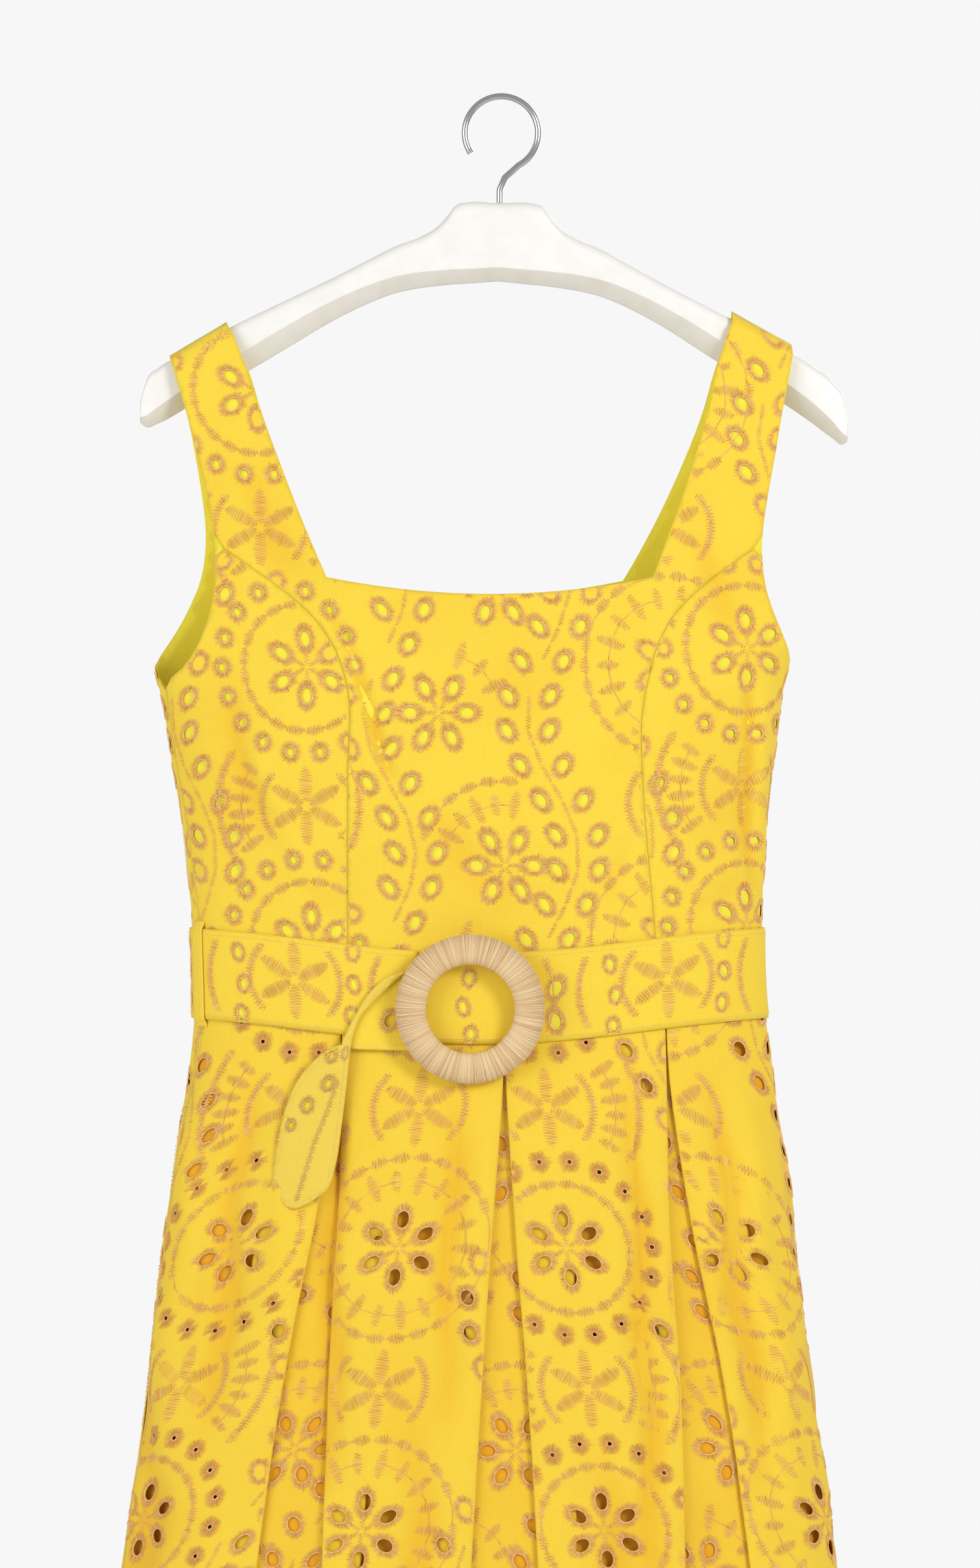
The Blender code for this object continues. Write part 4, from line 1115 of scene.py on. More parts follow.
class Look(Tree):
    """A material with its node tree."""

    def __init__(self, name):
        self.material = bpy.data.materials.new(name)
        self.material.use_nodes = True
        super().__init__(self.material.node_tree)

    def mix(self, factor, a, b):
        made = self.group.nodes.new("ShaderNodeMix")
        made.data_type = "RGBA"
        for socket, value in zip((made.inputs[0], made.inputs[6], made.inputs[7]), (factor, a, b)):
            self.feed(socket, value)
        return Value(self, made.outputs[2])

    def noise(self, where, scale, detail=2.0):
        return self.node("ShaderNodeTexNoise", Vector=where, Scale=scale, Detail=detail)

    def object_noise(self, scale, detail=2.0):
        return self.noise(self.node("ShaderNodeTexCoord", output="Object"), scale, detail)

    def of_cloth(self, name):
        """A value that the mesh keeps at each point."""
        return self.node("ShaderNodeAttribute", output="Fac", attribute_name=name)

    def bump(self, height, distance, strength=1.0):
        return self.node("ShaderNodeBump", Height=height, Distance=distance, Strength=strength)

    def done(self, **sockets):
        shader = self.group.nodes["Principled BSDF"]
        for name, value in sockets.items():
            self.feed(shader.inputs[name.replace("_", " ")], value)
        return self.material


def srgb(code):
    """A screen colour such as F3D02A as a linear colour."""
    parts = [int(code[i : i + 2], 16) / 255 for i in (0, 2, 4)]
    return (*(c / 12.92 if c < 0.0405 else ((c + 0.055) / 1.055) ** 2.4 for c in parts), 1.0)


# %% Cloth, thread, straw, paint and steel
def cotton(name, light, shade, painted_shade_colour, weave=0.00045):
    """Plain-woven cotton with slubs, drawn in the pattern's own metres, with painted shade of a deeper gold
    in its folds.
    """
    look = Look(name)
    place = look.node("ShaderNodeUVMap", uv_map="pattern")
    across, down = (look.node("ShaderNodeSeparateXYZ", place, output=axis) for axis in "XY")
    weave_height = (across * (math.tau / weave)).sin() * (down * (math.tau / weave)).sin() * 0.5 + 0.5
    wide = look.node("ShaderNodeCombineXYZ", across * 60.0, down * 1400.0)
    tall = look.node("ShaderNodeCombineXYZ", across * 1400.0, down * 60.0)
    slubs = look.noise(wide, 1.0) * 0.5 + look.noise(tall, 1.0) * 0.5
    soft = look.noise(place, 22.0, 3.0)
    rumple = look.noise(place, 85.0, 4.0)
    tint = look.mix(slubs.span(0.34, 0.66) * 0.45 + soft.span(0.3, 0.7) * 0.25, light, shade)
    return look.done(
        # painted shade: the cloth's colour moves to a deeper gold by the value stored on the mesh, high in
        # crease troughs and under pleats
        Base_Color=look.mix(look.of_cloth("painted_shade").clamp(), tint, painted_shade_colour),
        Roughness=slubs * 0.14 + 0.74,
        Sheen_Weight=0.12,
        Sheen_Roughness=0.5,
        Specular_IOR_Level=0.25,
        Normal=look.bump(weave_height * 0.25 + slubs * 0.9 + rumple * 4.0, 0.00022, 0.5),
    )


def sewing_thread(name, dark, middle, light, roughness):
    """Thread whose tone varies from stitch to stitch."""
    look = Look(name)
    tone = look.of_cloth("tone")
    tint = look.mix(tone.span(0.0, 0.5), dark, middle)
    tint = look.mix(tone.span(0.5, 1.0), tint, light)
    return look.done(
        Base_Color=tint, Roughness=1.0 - tone * 0.2 - roughness, Sheen_Weight=0.1, Specular_IOR_Level=0.4
    )


# the third colour of each cotton is its painted shade colour, used in folds and under pleats
YELLOW = cotton("eyelet_cotton", srgb("F9D944"), srgb("F4CE38"), srgb("EAA70A"))
LEMON = cotton("cotton_lining", srgb("FCEC4C"), srgb("F8E442"), srgb("EC9206"), 0.0004)
PALE = cotton("cotton_wrong_side", srgb("F2D456"), srgb("EBC844"), srgb("E2B93A"))
TAN = sewing_thread("tan_thread", srgb("D48E3C"), srgb("F2BA70"), srgb("FFD89C"), 0.35)
DULL = sewing_thread("wrong_side_thread", srgb("CFA050"), srgb("DDB468"), srgb("E8C888"), 0.2)
GOLD = sewing_thread("sewing_thread", srgb("EFD05A"), srgb("F6DF7C"), srgb("FBEA9C"), 0.3)
STRAW = sewing_thread("wound_straw", srgb("C69E68"), srgb("E5C595"), srgb("F7E4BC"), 0.3)


def painted(name, light, shade):
    """Satin paint with a faint unevenness."""
    look = Look(name)
    grain = look.object_noise(90.0, 3.0)
    return look.done(
        Base_Color=look.mix(grain.span(0.3, 0.7), light, shade),
        Roughness=grain * 0.15 + 0.35,
        Normal=look.bump(grain, 0.0001, 0.3),
    )


WHITE = painted("white_paint", srgb("F8F6F2"), srgb("F3F0EA"))
# painted shade: the downward bevel gets a darker, creamier copy of the white paint
BEVEL_SHADE = painted("cream_bevel", srgb("F0ECE1"), srgb("E9E4D8"))
wire = Look("hook_steel")
grain = wire.object_noise(400.0)
STEEL = wire.done(
    Base_Color=wire.mix(grain, srgb("C9C9C8"), srgb("BDBDBC")), Metallic=1.0, Roughness=grain * 0.12 + 0.16
)
print("finishes:", [m.name for m in (YELLOW, LEMON, PALE, TAN, DULL, GOLD, STRAW, WHITE, STEEL)])

# %% [markdown]
# ## Laying stitches with Geometry Nodes
#
# A mesh of points holds where each stitch lies, which way it runs, which way the cloth faces and how
# big it is. One Geometry Nodes tree puts a small ridged strip on every point. A particle system could
# do it, but here each stitch keeps the length that its motif gives it.


# %% The stitch tree
class GeometryTree(Tree):
    """A Geometry Nodes tree with named inputs."""

    def __init__(self, name, **inputs):
        super().__init__(bpy.data.node_groups.new(name, "GeometryNodeTree"))
        inputs = {"Geometry": "Geometry", **inputs}
        for key, kind in inputs.items():
            self.group.interface.new_socket(key, in_out="INPUT", socket_type="NodeSocket" + kind)
        self.group.interface.new_socket("Geometry", in_out="OUTPUT", socket_type="NodeSocketGeometry")
        start = self.group.nodes.new("NodeGroupInput")
        self.given = {key: Value(self, start.outputs[key]) for key in inputs}

    def lay(self, points, thing, turn, scale):
        """Ends the tree: the thing stands on every point as real faces in the given thread."""
        laid = self.node(
            "GeometryNodeInstanceOnPoints", Points=points, Instance=thing, Rotation=turn, Scale=scale
        )
        real = self.node("GeometryNodeRealizeInstances", laid)
        coloured = self.node("GeometryNodeSetMaterial", real, Material=self.given["Thread"])
        self.feed(self.group.nodes.new("NodeGroupOutput").inputs[0], coloured)
        return self.group


def stitch_tree():
    """Puts a small ridged strip on every point, with the point's own way, facing and size."""
    tree = GeometryTree("Lay stitches", Roundness="Float", Thread="Material")
    strip = tree.node("GeometryNodeMeshGrid", Size_X=1.0, Size_Y=1.0, Vertices_X=2, Vertices_Y=3)
    aside = tree.node("ShaderNodeSeparateXYZ", tree.node("GeometryNodeInputPosition"), output="Y")
    rise = (1.0 - aside.math("ABSOLUTE") * 2.0) * tree.given["Roundness"]
    ridge = tree.node("GeometryNodeSetPosition", strip, Offset=tree.node("ShaderNodeCombineXYZ", Z=rise))
    along, facing, size = (
        tree.node("GeometryNodeInputNamedAttribute", name, data_type="FLOAT_VECTOR")
        for name in ("along", "facing", "size")
    )
    turn = tree.node("FunctionNodeAxesToRotation", facing, along, primary_axis="Z", secondary_axis="X")
    return tree.lay(tree.given["Geometry"], tree.node("GeometryNodeSetShadeSmooth", ridge), turn, size)


STITCHES = stitch_tree()
print("tree:", STITCHES.name, "with", len(STITCHES.nodes), "nodes")


# %% Lay stitches on cloth
def solid_from(obj, tree, name, **inputs):
    """Runs a Geometry Nodes tree on an object and keeps its result as a plain mesh."""
    modifier = obj.modifiers.new(tree.name, "NODES")
    modifier.node_group = tree
    for socket in tree.interface.items_tree:
        if socket.in_out == "INPUT" and socket.name in inputs:
            modifier[socket.identifier] = inputs[socket.name]
    bpy.context.view_layer.update()
    shape = obj.evaluated_get(bpy.context.evaluated_depsgraph_get())
    mesh = bpy.data.meshes.new_from_object(shape)
    bpy.data.objects.remove(obj, do_unlink=True)
    mesh.name = name
    for attribute in ("along", "facing", "size"):
        if attribute in mesh.attributes:
            mesh.attributes.remove(mesh.attributes[attribute])
    return linked(name, mesh)


STITCH_LIFT = 0.00050
STITCH_HIGH = 0.00022


def lay_stitches(name, block, place, look, outward=1.0):
    """Stitches drawn on a flat pattern, laid on the cloth that place() gives."""
    lift = STITCH_LIFT
    start, end = place(block[:, 0], block[:, 1], lift), place(block[:, 2], block[:, 3], lift)
    along = end - start
    long = np.linalg.norm(along, axis=1)
    drawn = np.hypot(block[:, 2] - block[:, 0], block[:, 3] - block[:, 1])
    keep = (long > 0.8 * drawn) & (long < 1.2 * drawn)
    block, start, end, along, long = (v[keep] for v in (block, start, end, along, long))
    x, z = (block[:, 0] + block[:, 2]) / 2, (block[:, 1] + block[:, 3]) / 2
    step = 0.0004
    right = place(x + step, z, lift) - place(x - step, z, lift)
    up = place(x, z + step, lift) - place(x, z - step, lift)
    facing = outward * np.cross(right, up)
    facing /= np.maximum(np.linalg.norm(facing, axis=1), 1e-12)[:, None]
    obj = new_object(name, (start + end) / 2)
    size = np.column_stack([long, block[:, 4], np.full(len(long), STITCH_HIGH)])
    for key, values in (("along", along / long[:, None]), ("facing", facing), ("size", size)):
        kept = obj.data.attributes.new(key, "FLOAT_VECTOR", "POINT").data
        kept.foreach_set("vector", values.astype(np.float32).ravel())
    tone = obj.data.attributes.new("tone", "FLOAT", "POINT").data
    tone.foreach_set("value", block[:, 5].astype(np.float32))
    print(name, len(long), "stitches")
    return finish_piece(solid_from(obj, STITCHES, name, Roundness=1.0, Thread=look), "eyelet_cotton")


# %% [markdown]
# ## The bodice
#
# The centre front is cut in one with its straps, and the side fronts meet it at the princess seams.
# Each piece has its own place on the embroidered cloth, as cut pieces do, so the pattern breaks at
# the seams. The lining is plain, and shows through the eyelets and in the armholes. One sheet for the
# whole front would be less work, but its seams would have to be drawn on.


# %% Rules that lay the bodice
HANG_FROM = -0.165
BELT_MIDDLE = -0.531
UNDER_BELT = 0.032
DEEP_CREASE = 0.0030


def hang(z):
    """How freely the cloth may crease: not on the hanger and not under the belt."""
    top = np.clip((HANG_FROM - z) / 0.06, 0, 1)
    belt = np.clip((np.abs(z - BELT_MIDDLE) - UNDER_BELT) / 0.035, 0, 1)
    return top * belt


def painted_shade_of(p, z, table, inset=OUTER):
    """How much painted shade the cloth gets, from 0 to 1: more in crease troughs and on the pleats' under
    layers.
    """
    trough = np.clip(-creases(p, z, table) * hang(z) / DEEP_CREASE, 0, 1)
    return np.clip(0.45 * trough + 0.2 * np.clip((inset - OUTER) / LAYER, 0, 1), 0, 1)


def hung_cloth(lay, inset, table):
    """The rule that lays cloth on the form at an inset, with its creases."""

    def place(p, z, lift=0.0):
        return lay(p, z, inset - lift - creases(p, z, table) * hang(z))

    return place


def below_edges(place):
    """The lining's top edges lie a little below the cloth's."""

    def lower(p, z):
        return place(p, z - LINING * np.clip((z + 0.20) / 0.04, 0, 1))

    return lower


front, back = hung_cloth(on_form, OUTER, BODICE_CREASES), hung_cloth(on_back, OUTER, BACK_CREASES)
print("creases fade out over the belt at", BELT_MIDDLE)

# %% Bodice pieces
# name, outline, place, outward, origin
BODICE = (
    ("bodice_front_centre", centre_outline, front, 1.0, (-0.135, -0.339)),
    ("bodice_side_front_left", side_front_outline(-1), front, 1.0, (-0.112, -0.340)),
    ("bodice_side_front_right", side_front_outline(1), front, 1.0, (0.150, -0.329)),
    ("bodice_back", whole_outline, back, -1.0, (-0.120, -0.345)),
)
HANGER_PIECE = "hanger_body_painted"


def lay_cloth(name, cut, place, look, thickness, nodes=(), outward=1.0, painted_shade=0.0):
    """A finished sheet, its cut laid where place() says, with its faces outwards."""
    flat, triangles = cut
    obj = cloth_object(name, flat, triangles[:, :: int(outward)], place(*flat.T), look, thickness, painted_shade)
    return finish_piece(obj, "cotton_lining" if look is LEMON else "eyelet_cotton", *nodes)


def cut_from(shell, outline, size=None):
    """Prints the size and the area of the cut that a sheet is made from."""
    outline = np.asarray(outline)
    x, z = outline.T
    area = abs(x @ np.roll(z, -1) - z @ np.roll(x, -1)) / 2
    size = size or [float(v) for v in outline.max(axis=0) - outline.min(axis=0)]
    area_kept = min(area, size[0] * size[1])
    print("cut:", shell.name, [round(v, 3) for v in size], "m,", round(float(area), 4), "m2")


for name, outline, place, outward, origin in BODICE:
    holes = pattern_holes(outline, cloth_block, origin)
    step, table = (0.0034, BODICE_CREASES) if outward > 0 else (0.0046, BACK_CREASES)
    cut = cut_sheet(outline, grid_fill(outline, holes, step, 0.0014), holes)
    # painted shade in the bodice's crease troughs
    painted_shade = painted_shade_of(*cut[0].T, table)
    shell = lay_cloth(name + "_cloth", cut, place, YELLOW, CLOTH_THICK, [name], outward, painted_shade)
    drawn = pattern_stitches(outline, cloth_block, origin)
    work = lay_stitches(name + "_embroidery", drawn, place, TAN, outward)
    cut_from(shell, outline)
    print(name, len(holes), "eyelets,", len(cut[1]), "triangles")


# %% Bodice linings
for name, lay, table, outward in (
    ("bodice_lining_front", on_form, BODICE_CREASES, 1.0),
    ("bodice_lining_back", on_back, BACK_CREASES, -1.0),
):
    cut = cut_sheet(whole_outline, grid_fill(whole_outline, [], 0.0072, 0.0016), [])
    place = below_edges(hung_cloth(lay, LINING, table))
    shell = lay_cloth(name + "_cloth", cut, place, LEMON, LINING_THICK, [name], outward)
    cut_from(shell, whole_outline)
print("bodice done")

# %% [markdown]
# ## The skirt
#
# Front and back are each one flat sheet with three inverted pleats. The same fold rule places the
# cloth and its stitches, so embroidery runs into the pleats as it does on the real skirt. A cloth
# simulation could drop the pleats from the waist, but they wouldn't stay where the photo has them.

# %% Rules that lay the skirt
HEM_ROW = 0.020
SIDE_ROW = 0.0022


def skirt_cloth(lay, table):
    """The rule that folds the flat skirt, and keeps stitches on the right side where it turns under."""

    def place(w, z, lift=0.0):
        p, inset = folded(w, z)
        ahead = folded(w + np.where(w < 0, -1, 1) * 0.0002, z)[0]
        turned = np.where(np.abs(ahead) < np.abs(p), -1.0, 1.0)
        return lay(p, z, inset - lift * turned - creases(p, z, table) * hang(z))

    return place


def lining_cloth(lay, table):
    """The rule that hangs the plain lining behind the pleats, and close to single cloth at the sides."""
    deep, near = OUTER + 2 * LAYER + 0.0012, OUTER + 0.0015

    def place(p, z, lift=0.0):
        past = np.abs(p) - columns(PLEATS, z)[..., 1] - UNDERLAY_HALF
        single = np.clip((past - 0.004) / 0.010, 0, 1) * np.clip((z + 0.82) / 0.14, 0, 1)
        return lay(p, z, deep + (near - deep) * single - lift - creases(p, z, table) * hang(z))

    return place


def sewn_line(points, pitch=0.0026, wide=0.00040):
    """Machine stitches at an even pitch along a line on the flat pattern, with gaps between them."""
    points = np.asarray(points, float)
    along = np.concatenate([[0.0], np.cumsum(np.hypot(*np.diff(points, axis=0).T))])
    start = np.arange(0, along[-1] - pitch, pitch)

    def at(s):
        return np.stack([np.interp(s, along, points[:, 0]), np.interp(s, along, points[:, 1])])

    return lines(at(start), at(start + pitch * 0.72), wide)


def skirt_rows():
    """Stitching down both side seams and along the hem."""
    drops = np.linspace(-0.535, HEM + 0.002, 300)
    edge = per_level(KEY_W[:, -1], drops) - SIDE_ROW
    low = float(per_level(KEY_W[:, -1], HEM)) - 0.004
    hem = [(w, HEM + HEM_ROW) for w in np.linspace(-low, low, 400)]
    rows = [np.column_stack([hand * edge, drops]) for hand in (-1, 1)] + [hem]
    return np.concatenate([sewn_line(row) for row in rows])


def clear_of_folds(holes):
    """The eyelets that don't lie across a pleat's fold."""
    bends = np.abs(np.diff(KEY_INSET[level_of(-1.0)[0]])) > 1e-5
    kept = []
    for hole in holes:
        row = KEY_W[level_of(hole[1])[0]]
        folds = np.concatenate([row[:-1][bends], row[1:][bends]])
        if np.abs(abs(hole[0]) - folds).min() > hole[3] + 0.0006:
            kept.append(hole)
    return kept


print("skirt hem row", HEM_ROW, "m up")

# %% Skirt front and back
BACK_FOLDS = tuple((-pa, za, -pb, zb, high, half) for pa, za, pb, zb, high, half in SKIRT_CREASES)
LOWER_PART = -0.76
# name, lay, creases, outward, origin, fine down to
SKIRT = (
    ("skirt_front", on_form, SKIRT_CREASES, 1.0, (0.1075, -0.681), -0.87),
    ("skirt_back", on_back, BACK_FOLDS, -1.0, (0.1075, -0.690), -0.53),
)
for name, lay, table, outward, origin, fine_to in SKIRT:
    place = skirt_cloth(lay, table)
    holes = clear_of_folds(pattern_holes(skirt_edge, cloth_block, origin, True))
    cut = cut_sheet(skirt_edge, skirt_fill(skirt_edge, holes, fine_to), holes, 12)
    p, inset = folded(*cut[0].T)
    # an even faint gold tint over the whole skirt, and painted shade deeper in crease troughs and on the
    # pleats' under layers
    painted_shade = 0.10 + 0.9 * painted_shade_of(p, cut[0][:, 1], table, inset)
    shell = lay_cloth(name + "_cloth", cut, place, YELLOW, CLOTH_THICK, [name], outward, painted_shade)
    drawn = pattern_stitches(skirt_edge, cloth_block, origin, True, fine_to)
    upper = drawn[:, 1] > LOWER_PART
    work = [
        lay_stitches(name + part, drawn[chosen], place, TAN, outward)
        for part, chosen in (("_embroidery", upper), ("_lower_embroidery", ~upper))
    ]
    work.append(lay_stitches(name + "_sewing", skirt_rows(), place, GOLD, outward))
    cut_from(shell, skirt_edge)
    print(name, len(holes), "eyelets,", len(cut[1]), "triangles")

# %% Skirt linings
LINING_ROWS, LINING_ACROSS = 70, 97
flat = []
for t in np.linspace(0, 1, LINING_ROWS):
    for part in np.linspace(-1, 1, LINING_ACROSS):
        start = float(waist_height(part * float(per_level(FRONT, WAIST)))) - SEAM
        z = start + (LINING_HEM - start) * t
        flat.append((part * (float(per_level(FRONT, z)) - SEAM), z))
cut = (np.array(flat), grid_triangles(LINING_ROWS, LINING_ACROSS))
grid = cut[0].reshape(LINING_ROWS, LINING_ACROSS, 2)
border = np.concatenate([grid[0], grid[1:, -1], grid[-1, ::-1][1:], grid[1:-1, 0][::-1]])
for name, lay, table, outward in (
    ("skirt_lining_front", on_form, SKIRT_CREASES, 1.0),
    ("skirt_lining_back", on_back, BACK_FOLDS, -1.0),
):
    place = lining_cloth(lay, table)
    # painted shade: the skirt lining is tinted toward a deep orange gold all over, for the dark seen
    # through the skirt's eyelets
    shell = lay_cloth(name + "_cloth", cut, place, LEMON, LINING_THICK, [name], outward, 0.75)
    cut_from(shell, border)
print("skirt done")

# %% [markdown]
# ## The belt
#
# The belt is a flat strip cut from the same cloth, laid round the waist with its two ends meeting
# under the ring. Its own place is s round the waist and v up from its middle. A lemon backing shows
# through its eyelets, and a row of stitching runs just inside both edges. It could be swept along a
# curve, but laid on the form it follows the waist closely all round.

# %% Belt sizes and its place round the waist
BELT_OUT = -0.0018
RING_X = -0.0185
RING_Z = -0.5410
RING_RADIUS = 0.0350
RING_HALF_BAND = 0.0090
RING_HALF_DEPTH = 0.0054
TAIL_STAND = 0.0036
LOOP_HALF = 0.0045
waist_whole = float(per_level(WHOLE, WAIST))
BELT_WAVES = (
    (-0.075, -0.030, -0.110, 0.030, -0.0008, 0.0060),
    (0.060, -0.030, 0.085, 0.030, 0.0007, 0.0080),
    (0.120, 0.030, 0.128, -0.030, -0.0007, 0.0060),
)


def belt_place(s, v, lift=0.0):
    """A place on the belt, s round the waist and v up from its middle."""
    around = (s + waist_whole) % (2 * waist_whole) - waist_whole
    z = dipped_waist(around) + v
    wave = creases(around, v, BELT_WAVES, 0.0002)
    edge = 0.0005 * np.clip((np.abs(v) - BELT_HALF + 0.003) / 0.003, 0, 1) ** 2
    return on_form(around - per_level(SHIFT, z), z, BELT_OUT + edge - lift - wave)


def rectangle(left, right, low, high, step):
    """A rectangular outline with points along all its sides."""
    across = np.linspace(left, right, max(2, int((right - left) / step)))
    up = np.linspace(low, high, max(2, int((high - low) / step)))
    sides = [(x, low) for x in across] + [(right, z) for z in up[1:]]
    return sides + [(x, high) for x in across[::-1][1:]] + [(left, z) for z in up[::-1][1:-1]]


print("belt: once round", round(2 * waist_whole, 3), "m")

# %% Belt band
SLIT_ASIDE = 0.0300
ENDS_APART = 0.0008
slit = arc(WAIST, RING_X - SLIT_ASIDE - float(per_level(CENTRE, WAIST)))
start, end = slit + ENDS_APART, slit + 2 * waist_whole - ENDS_APART
belt_edge = rectangle(start, end, -BELT_HALF, BELT_HALF, 0.004)
# from, to, middle of the motifs
BELT_PARTS = ((start, waist_whole, 0.1115), (waist_whole, end, 2 * waist_whole - 0.1085))
holes, drawn = [], []
for left, right, middle in BELT_PARTS:
    part = rectangle(left, right, -BELT_HALF, BELT_HALF, 0.01)
    holes += pattern_holes(part, belt_block, (middle, 0.0))
    drawn.append(pattern_stitches(part, belt_block, (middle, 0.0)))
cut = cut_sheet(belt_edge, grid_fill(belt_edge, holes, 0.0042, 0.0018), holes)
band = lay_cloth("belt_band_cloth", cut, belt_place, YELLOW, CLOTH_THICK, ["belt_band"])


def behind_belt(s, v):
    """The backing is a little narrower than the belt and lies behind it."""
    return belt_place(s, v * 0.985, -0.0006)


cut = cut_sheet(belt_edge, grid_fill(belt_edge, [], 0.0060, 0.0024), [])
backing = lay_cloth("belt_backing", cut, behind_belt, LEMON, BACKING_THICK)
work = lay_stitches("belt_embroidery", np.concatenate(drawn), belt_place, TAN)
hem, along = BELT_HALF - 0.0030, np.linspace(start + 0.003, end - 0.003, 60)
rows = [sewn_line([(s, side * hem) for s in along]) for side in (-1, 1)]
sewn = lay_stitches("belt_topstitching", np.concatenate(rows), belt_place, GOLD)
cut_from(band, belt_edge)
cut_from(backing, belt_edge)

# %% [markdown]
# ## The belt's tail
#
# The end of the belt comes out from under the ring, right side out, folds forward along a slanting
# line and hangs down with its wrong side out. The two flat parts are drawn in front view beside the
# ring. A half-round strip joins them along the fold, so the cloth really turns over. A simulation
# would fold it somewhere else each time the belt is changed.

# %% Outlines of the tail
# x and z beside the ring's middle
FOLD = ((-0.0383, 0.0222), (-0.0503, 0.0171), (-0.0586, 0.0092), (-0.0665, -0.0032), (-0.0752, -0.0208))
STRIP_LOW = ((-0.0742, -0.0222), (-0.0690, -0.0236), (-0.0560, -0.0243), (-0.0290, -0.0247))
STRIP_TOP = ((-0.0290, 0.0226), (-0.0374, 0.0222))
TAIL_LEFT = (
    (-0.0756, -0.0212), (-0.0835, -0.0247), (-0.0929, -0.0324), (-0.1018, -0.0444), (-0.1082, -0.0605),
    (-0.1128, -0.0820), (-0.1158, -0.1000),
)
TAIL_TIP = (
    (-0.1158, -0.1000), (-0.1160, -0.1045), (-0.1125, -0.1112), (-0.1080, -0.1158), (-0.1036, -0.1175),
    (-0.0969, -0.1154), (-0.0890, -0.1105), (-0.0828, -0.1050), (-0.0806, -0.1000),
)
TAIL_RIGHT = (
    (-0.0806, -0.1000), (-0.0772, -0.0850), (-0.0752, -0.0700), (-0.0723, -0.0470), (-0.0704, -0.0300),
    (-0.0688, -0.0180), (-0.0642, -0.0051), (-0.0559, 0.0046), (-0.0460, 0.0145), (-0.0390, 0.0202),
)
FOLD_RADIUS = 0.0012
# z, stand
TAIL_HANG = (
    (-0.125, 0.0030), (-0.100, 0.0033), (-0.076, 0.0040), (-0.050, 0.0050),
    (-0.030, 0.0058), (0.000, 0.0062), (0.030, 0.0062),
)


def smooth_line(points, step=0.0016):
    """Points at even steps along a smooth line through a few."""
    points = np.array(points)
    along = np.concatenate([[0.0], np.cumsum(np.hypot(*np.diff(points, axis=0).T))])
    even = np.linspace(0, along[-1], max(3, int(along[-1] / step)))
    return columns([tuple(row) for row in np.column_stack([along, points])], even)


def beside_line(points, distance):
    """The same line, moved to its right by a distance."""
    way = np.gradient(points, axis=0)
    way /= np.hypot(*way.T)[:, None]
    return points + distance * np.column_stack([way[:, 1], -way[:, 0]])


fold_line = smooth_line(FOLD)
fold_out = beside_line(fold_line, 1.0) - fold_line
fold_inner = fold_line - FOLD_RADIUS * fold_out
strip_outline = np.concatenate([fold_inner, smooth_line(STRIP_LOW), smooth_line(STRIP_TOP)])
tail_left, tail_tip, tail_right = (smooth_line(line) for line in (TAIL_LEFT, TAIL_TIP, TAIL_RIGHT))
tail_edge = np.concatenate([fold_inner, tail_left, tail_tip[1:], tail_right[1:]])
print("tail edges:", len(strip_outline), len(tail_edge))

# %% Place the tail
ARC_SHARE = np.linspace(0, 0.97, 240)
WIDEST = FORM_X.max(axis=1)
arc_rows = []
for xs, whole in zip(FORM_X, WHOLE):
    last = int(np.argmax(xs)) + 1
    arc_rows.append(np.interp(ARC_SHARE * xs[last - 1], xs[:last], np.linspace(0, whole, AROUND)[:last]))
ARCS = np.array(arc_rows)


def beside_ring(x, z, stand):
    """A place in front of the belt, by its x and z beside the ring's middle."""
    x, z, stand = (np.array(v, float) for v in np.broadcast_arrays(x, z, stand))
    height = RING_Z + z
    x = RING_X + x - per_level(CENTRE, height)
    row, up = level_of(height)
    share = np.abs(x) / per_level(WIDEST, height) / 0.97 * (len(ARC_SHARE) - 1)
    col = np.minimum(share.astype(int), len(ARC_SHARE) - 2)
    on = share - col
    low = ARCS[row, col] * (1 - on) + ARCS[row, col + 1] * on
    high = ARCS[row + 1, col] * (1 - on) + ARCS[row + 1, col + 1] * on
    p = np.sign(x) * (low * (1 - up) + high * up) - per_level(SHIFT, height)
    return on_form(p, height, -stand)


def strip_place(x, z, lift=0.0):
    """A place on the short strip between the ring and the fold."""
    return beside_ring(x, z, TAIL_STAND + lift)


def tail_stand(x, z):
    """How far the hanging part stands off, with a slow wave down its length."""
    wave = 0.0005 * np.sin(70 * x + 45 * z) * np.clip(-(z + 0.015) / 0.03, 0, 1)
    return columns(TAIL_HANG, z)[..., 0] + wave


def tail_place(x, z, lift=0.0):
    """A place on the hanging part."""
    x, z = (np.array(v, float) for v in np.broadcast_arrays(x, z))
    return beside_ring(x, z, tail_stand(x, z) + lift)


# x, z, half width, half length, outer half width, outer half length, angle
TAIL_EYES = (
    (-0.0808, -0.0275, 0.0021, 0.0029, 0.0046, 0.0056, 0.5),
    (-0.0727, -0.0262, 0.0012, 0.0024, 0.0026, 0.0048, 0.3),
    (-0.0827, -0.0440, 0.0023, 0.0033, 0.0050, 0.0062, 0.7),
    (-0.0950, -0.0569, 0.0023, 0.0030, 0.0049, 0.0057, 0.5),
    (-0.1045, -0.0685, 0.0018, 0.0025, 0.0038, 0.0048, 0.4),
)
STRIP_EYES = ((-0.0470, -0.0070, 0.0032, 0.0044, 0.0064, 0.0080, 0.4),)
SATIN_SPINE = (
    (-0.0770, -0.0420), (-0.0840, -0.0620), (-0.0905, -0.0780), (-0.0960, -0.0960), (-0.1015, -0.1130),
)
print("tail eyelets:", len(TAIL_EYES) + len(STRIP_EYES))

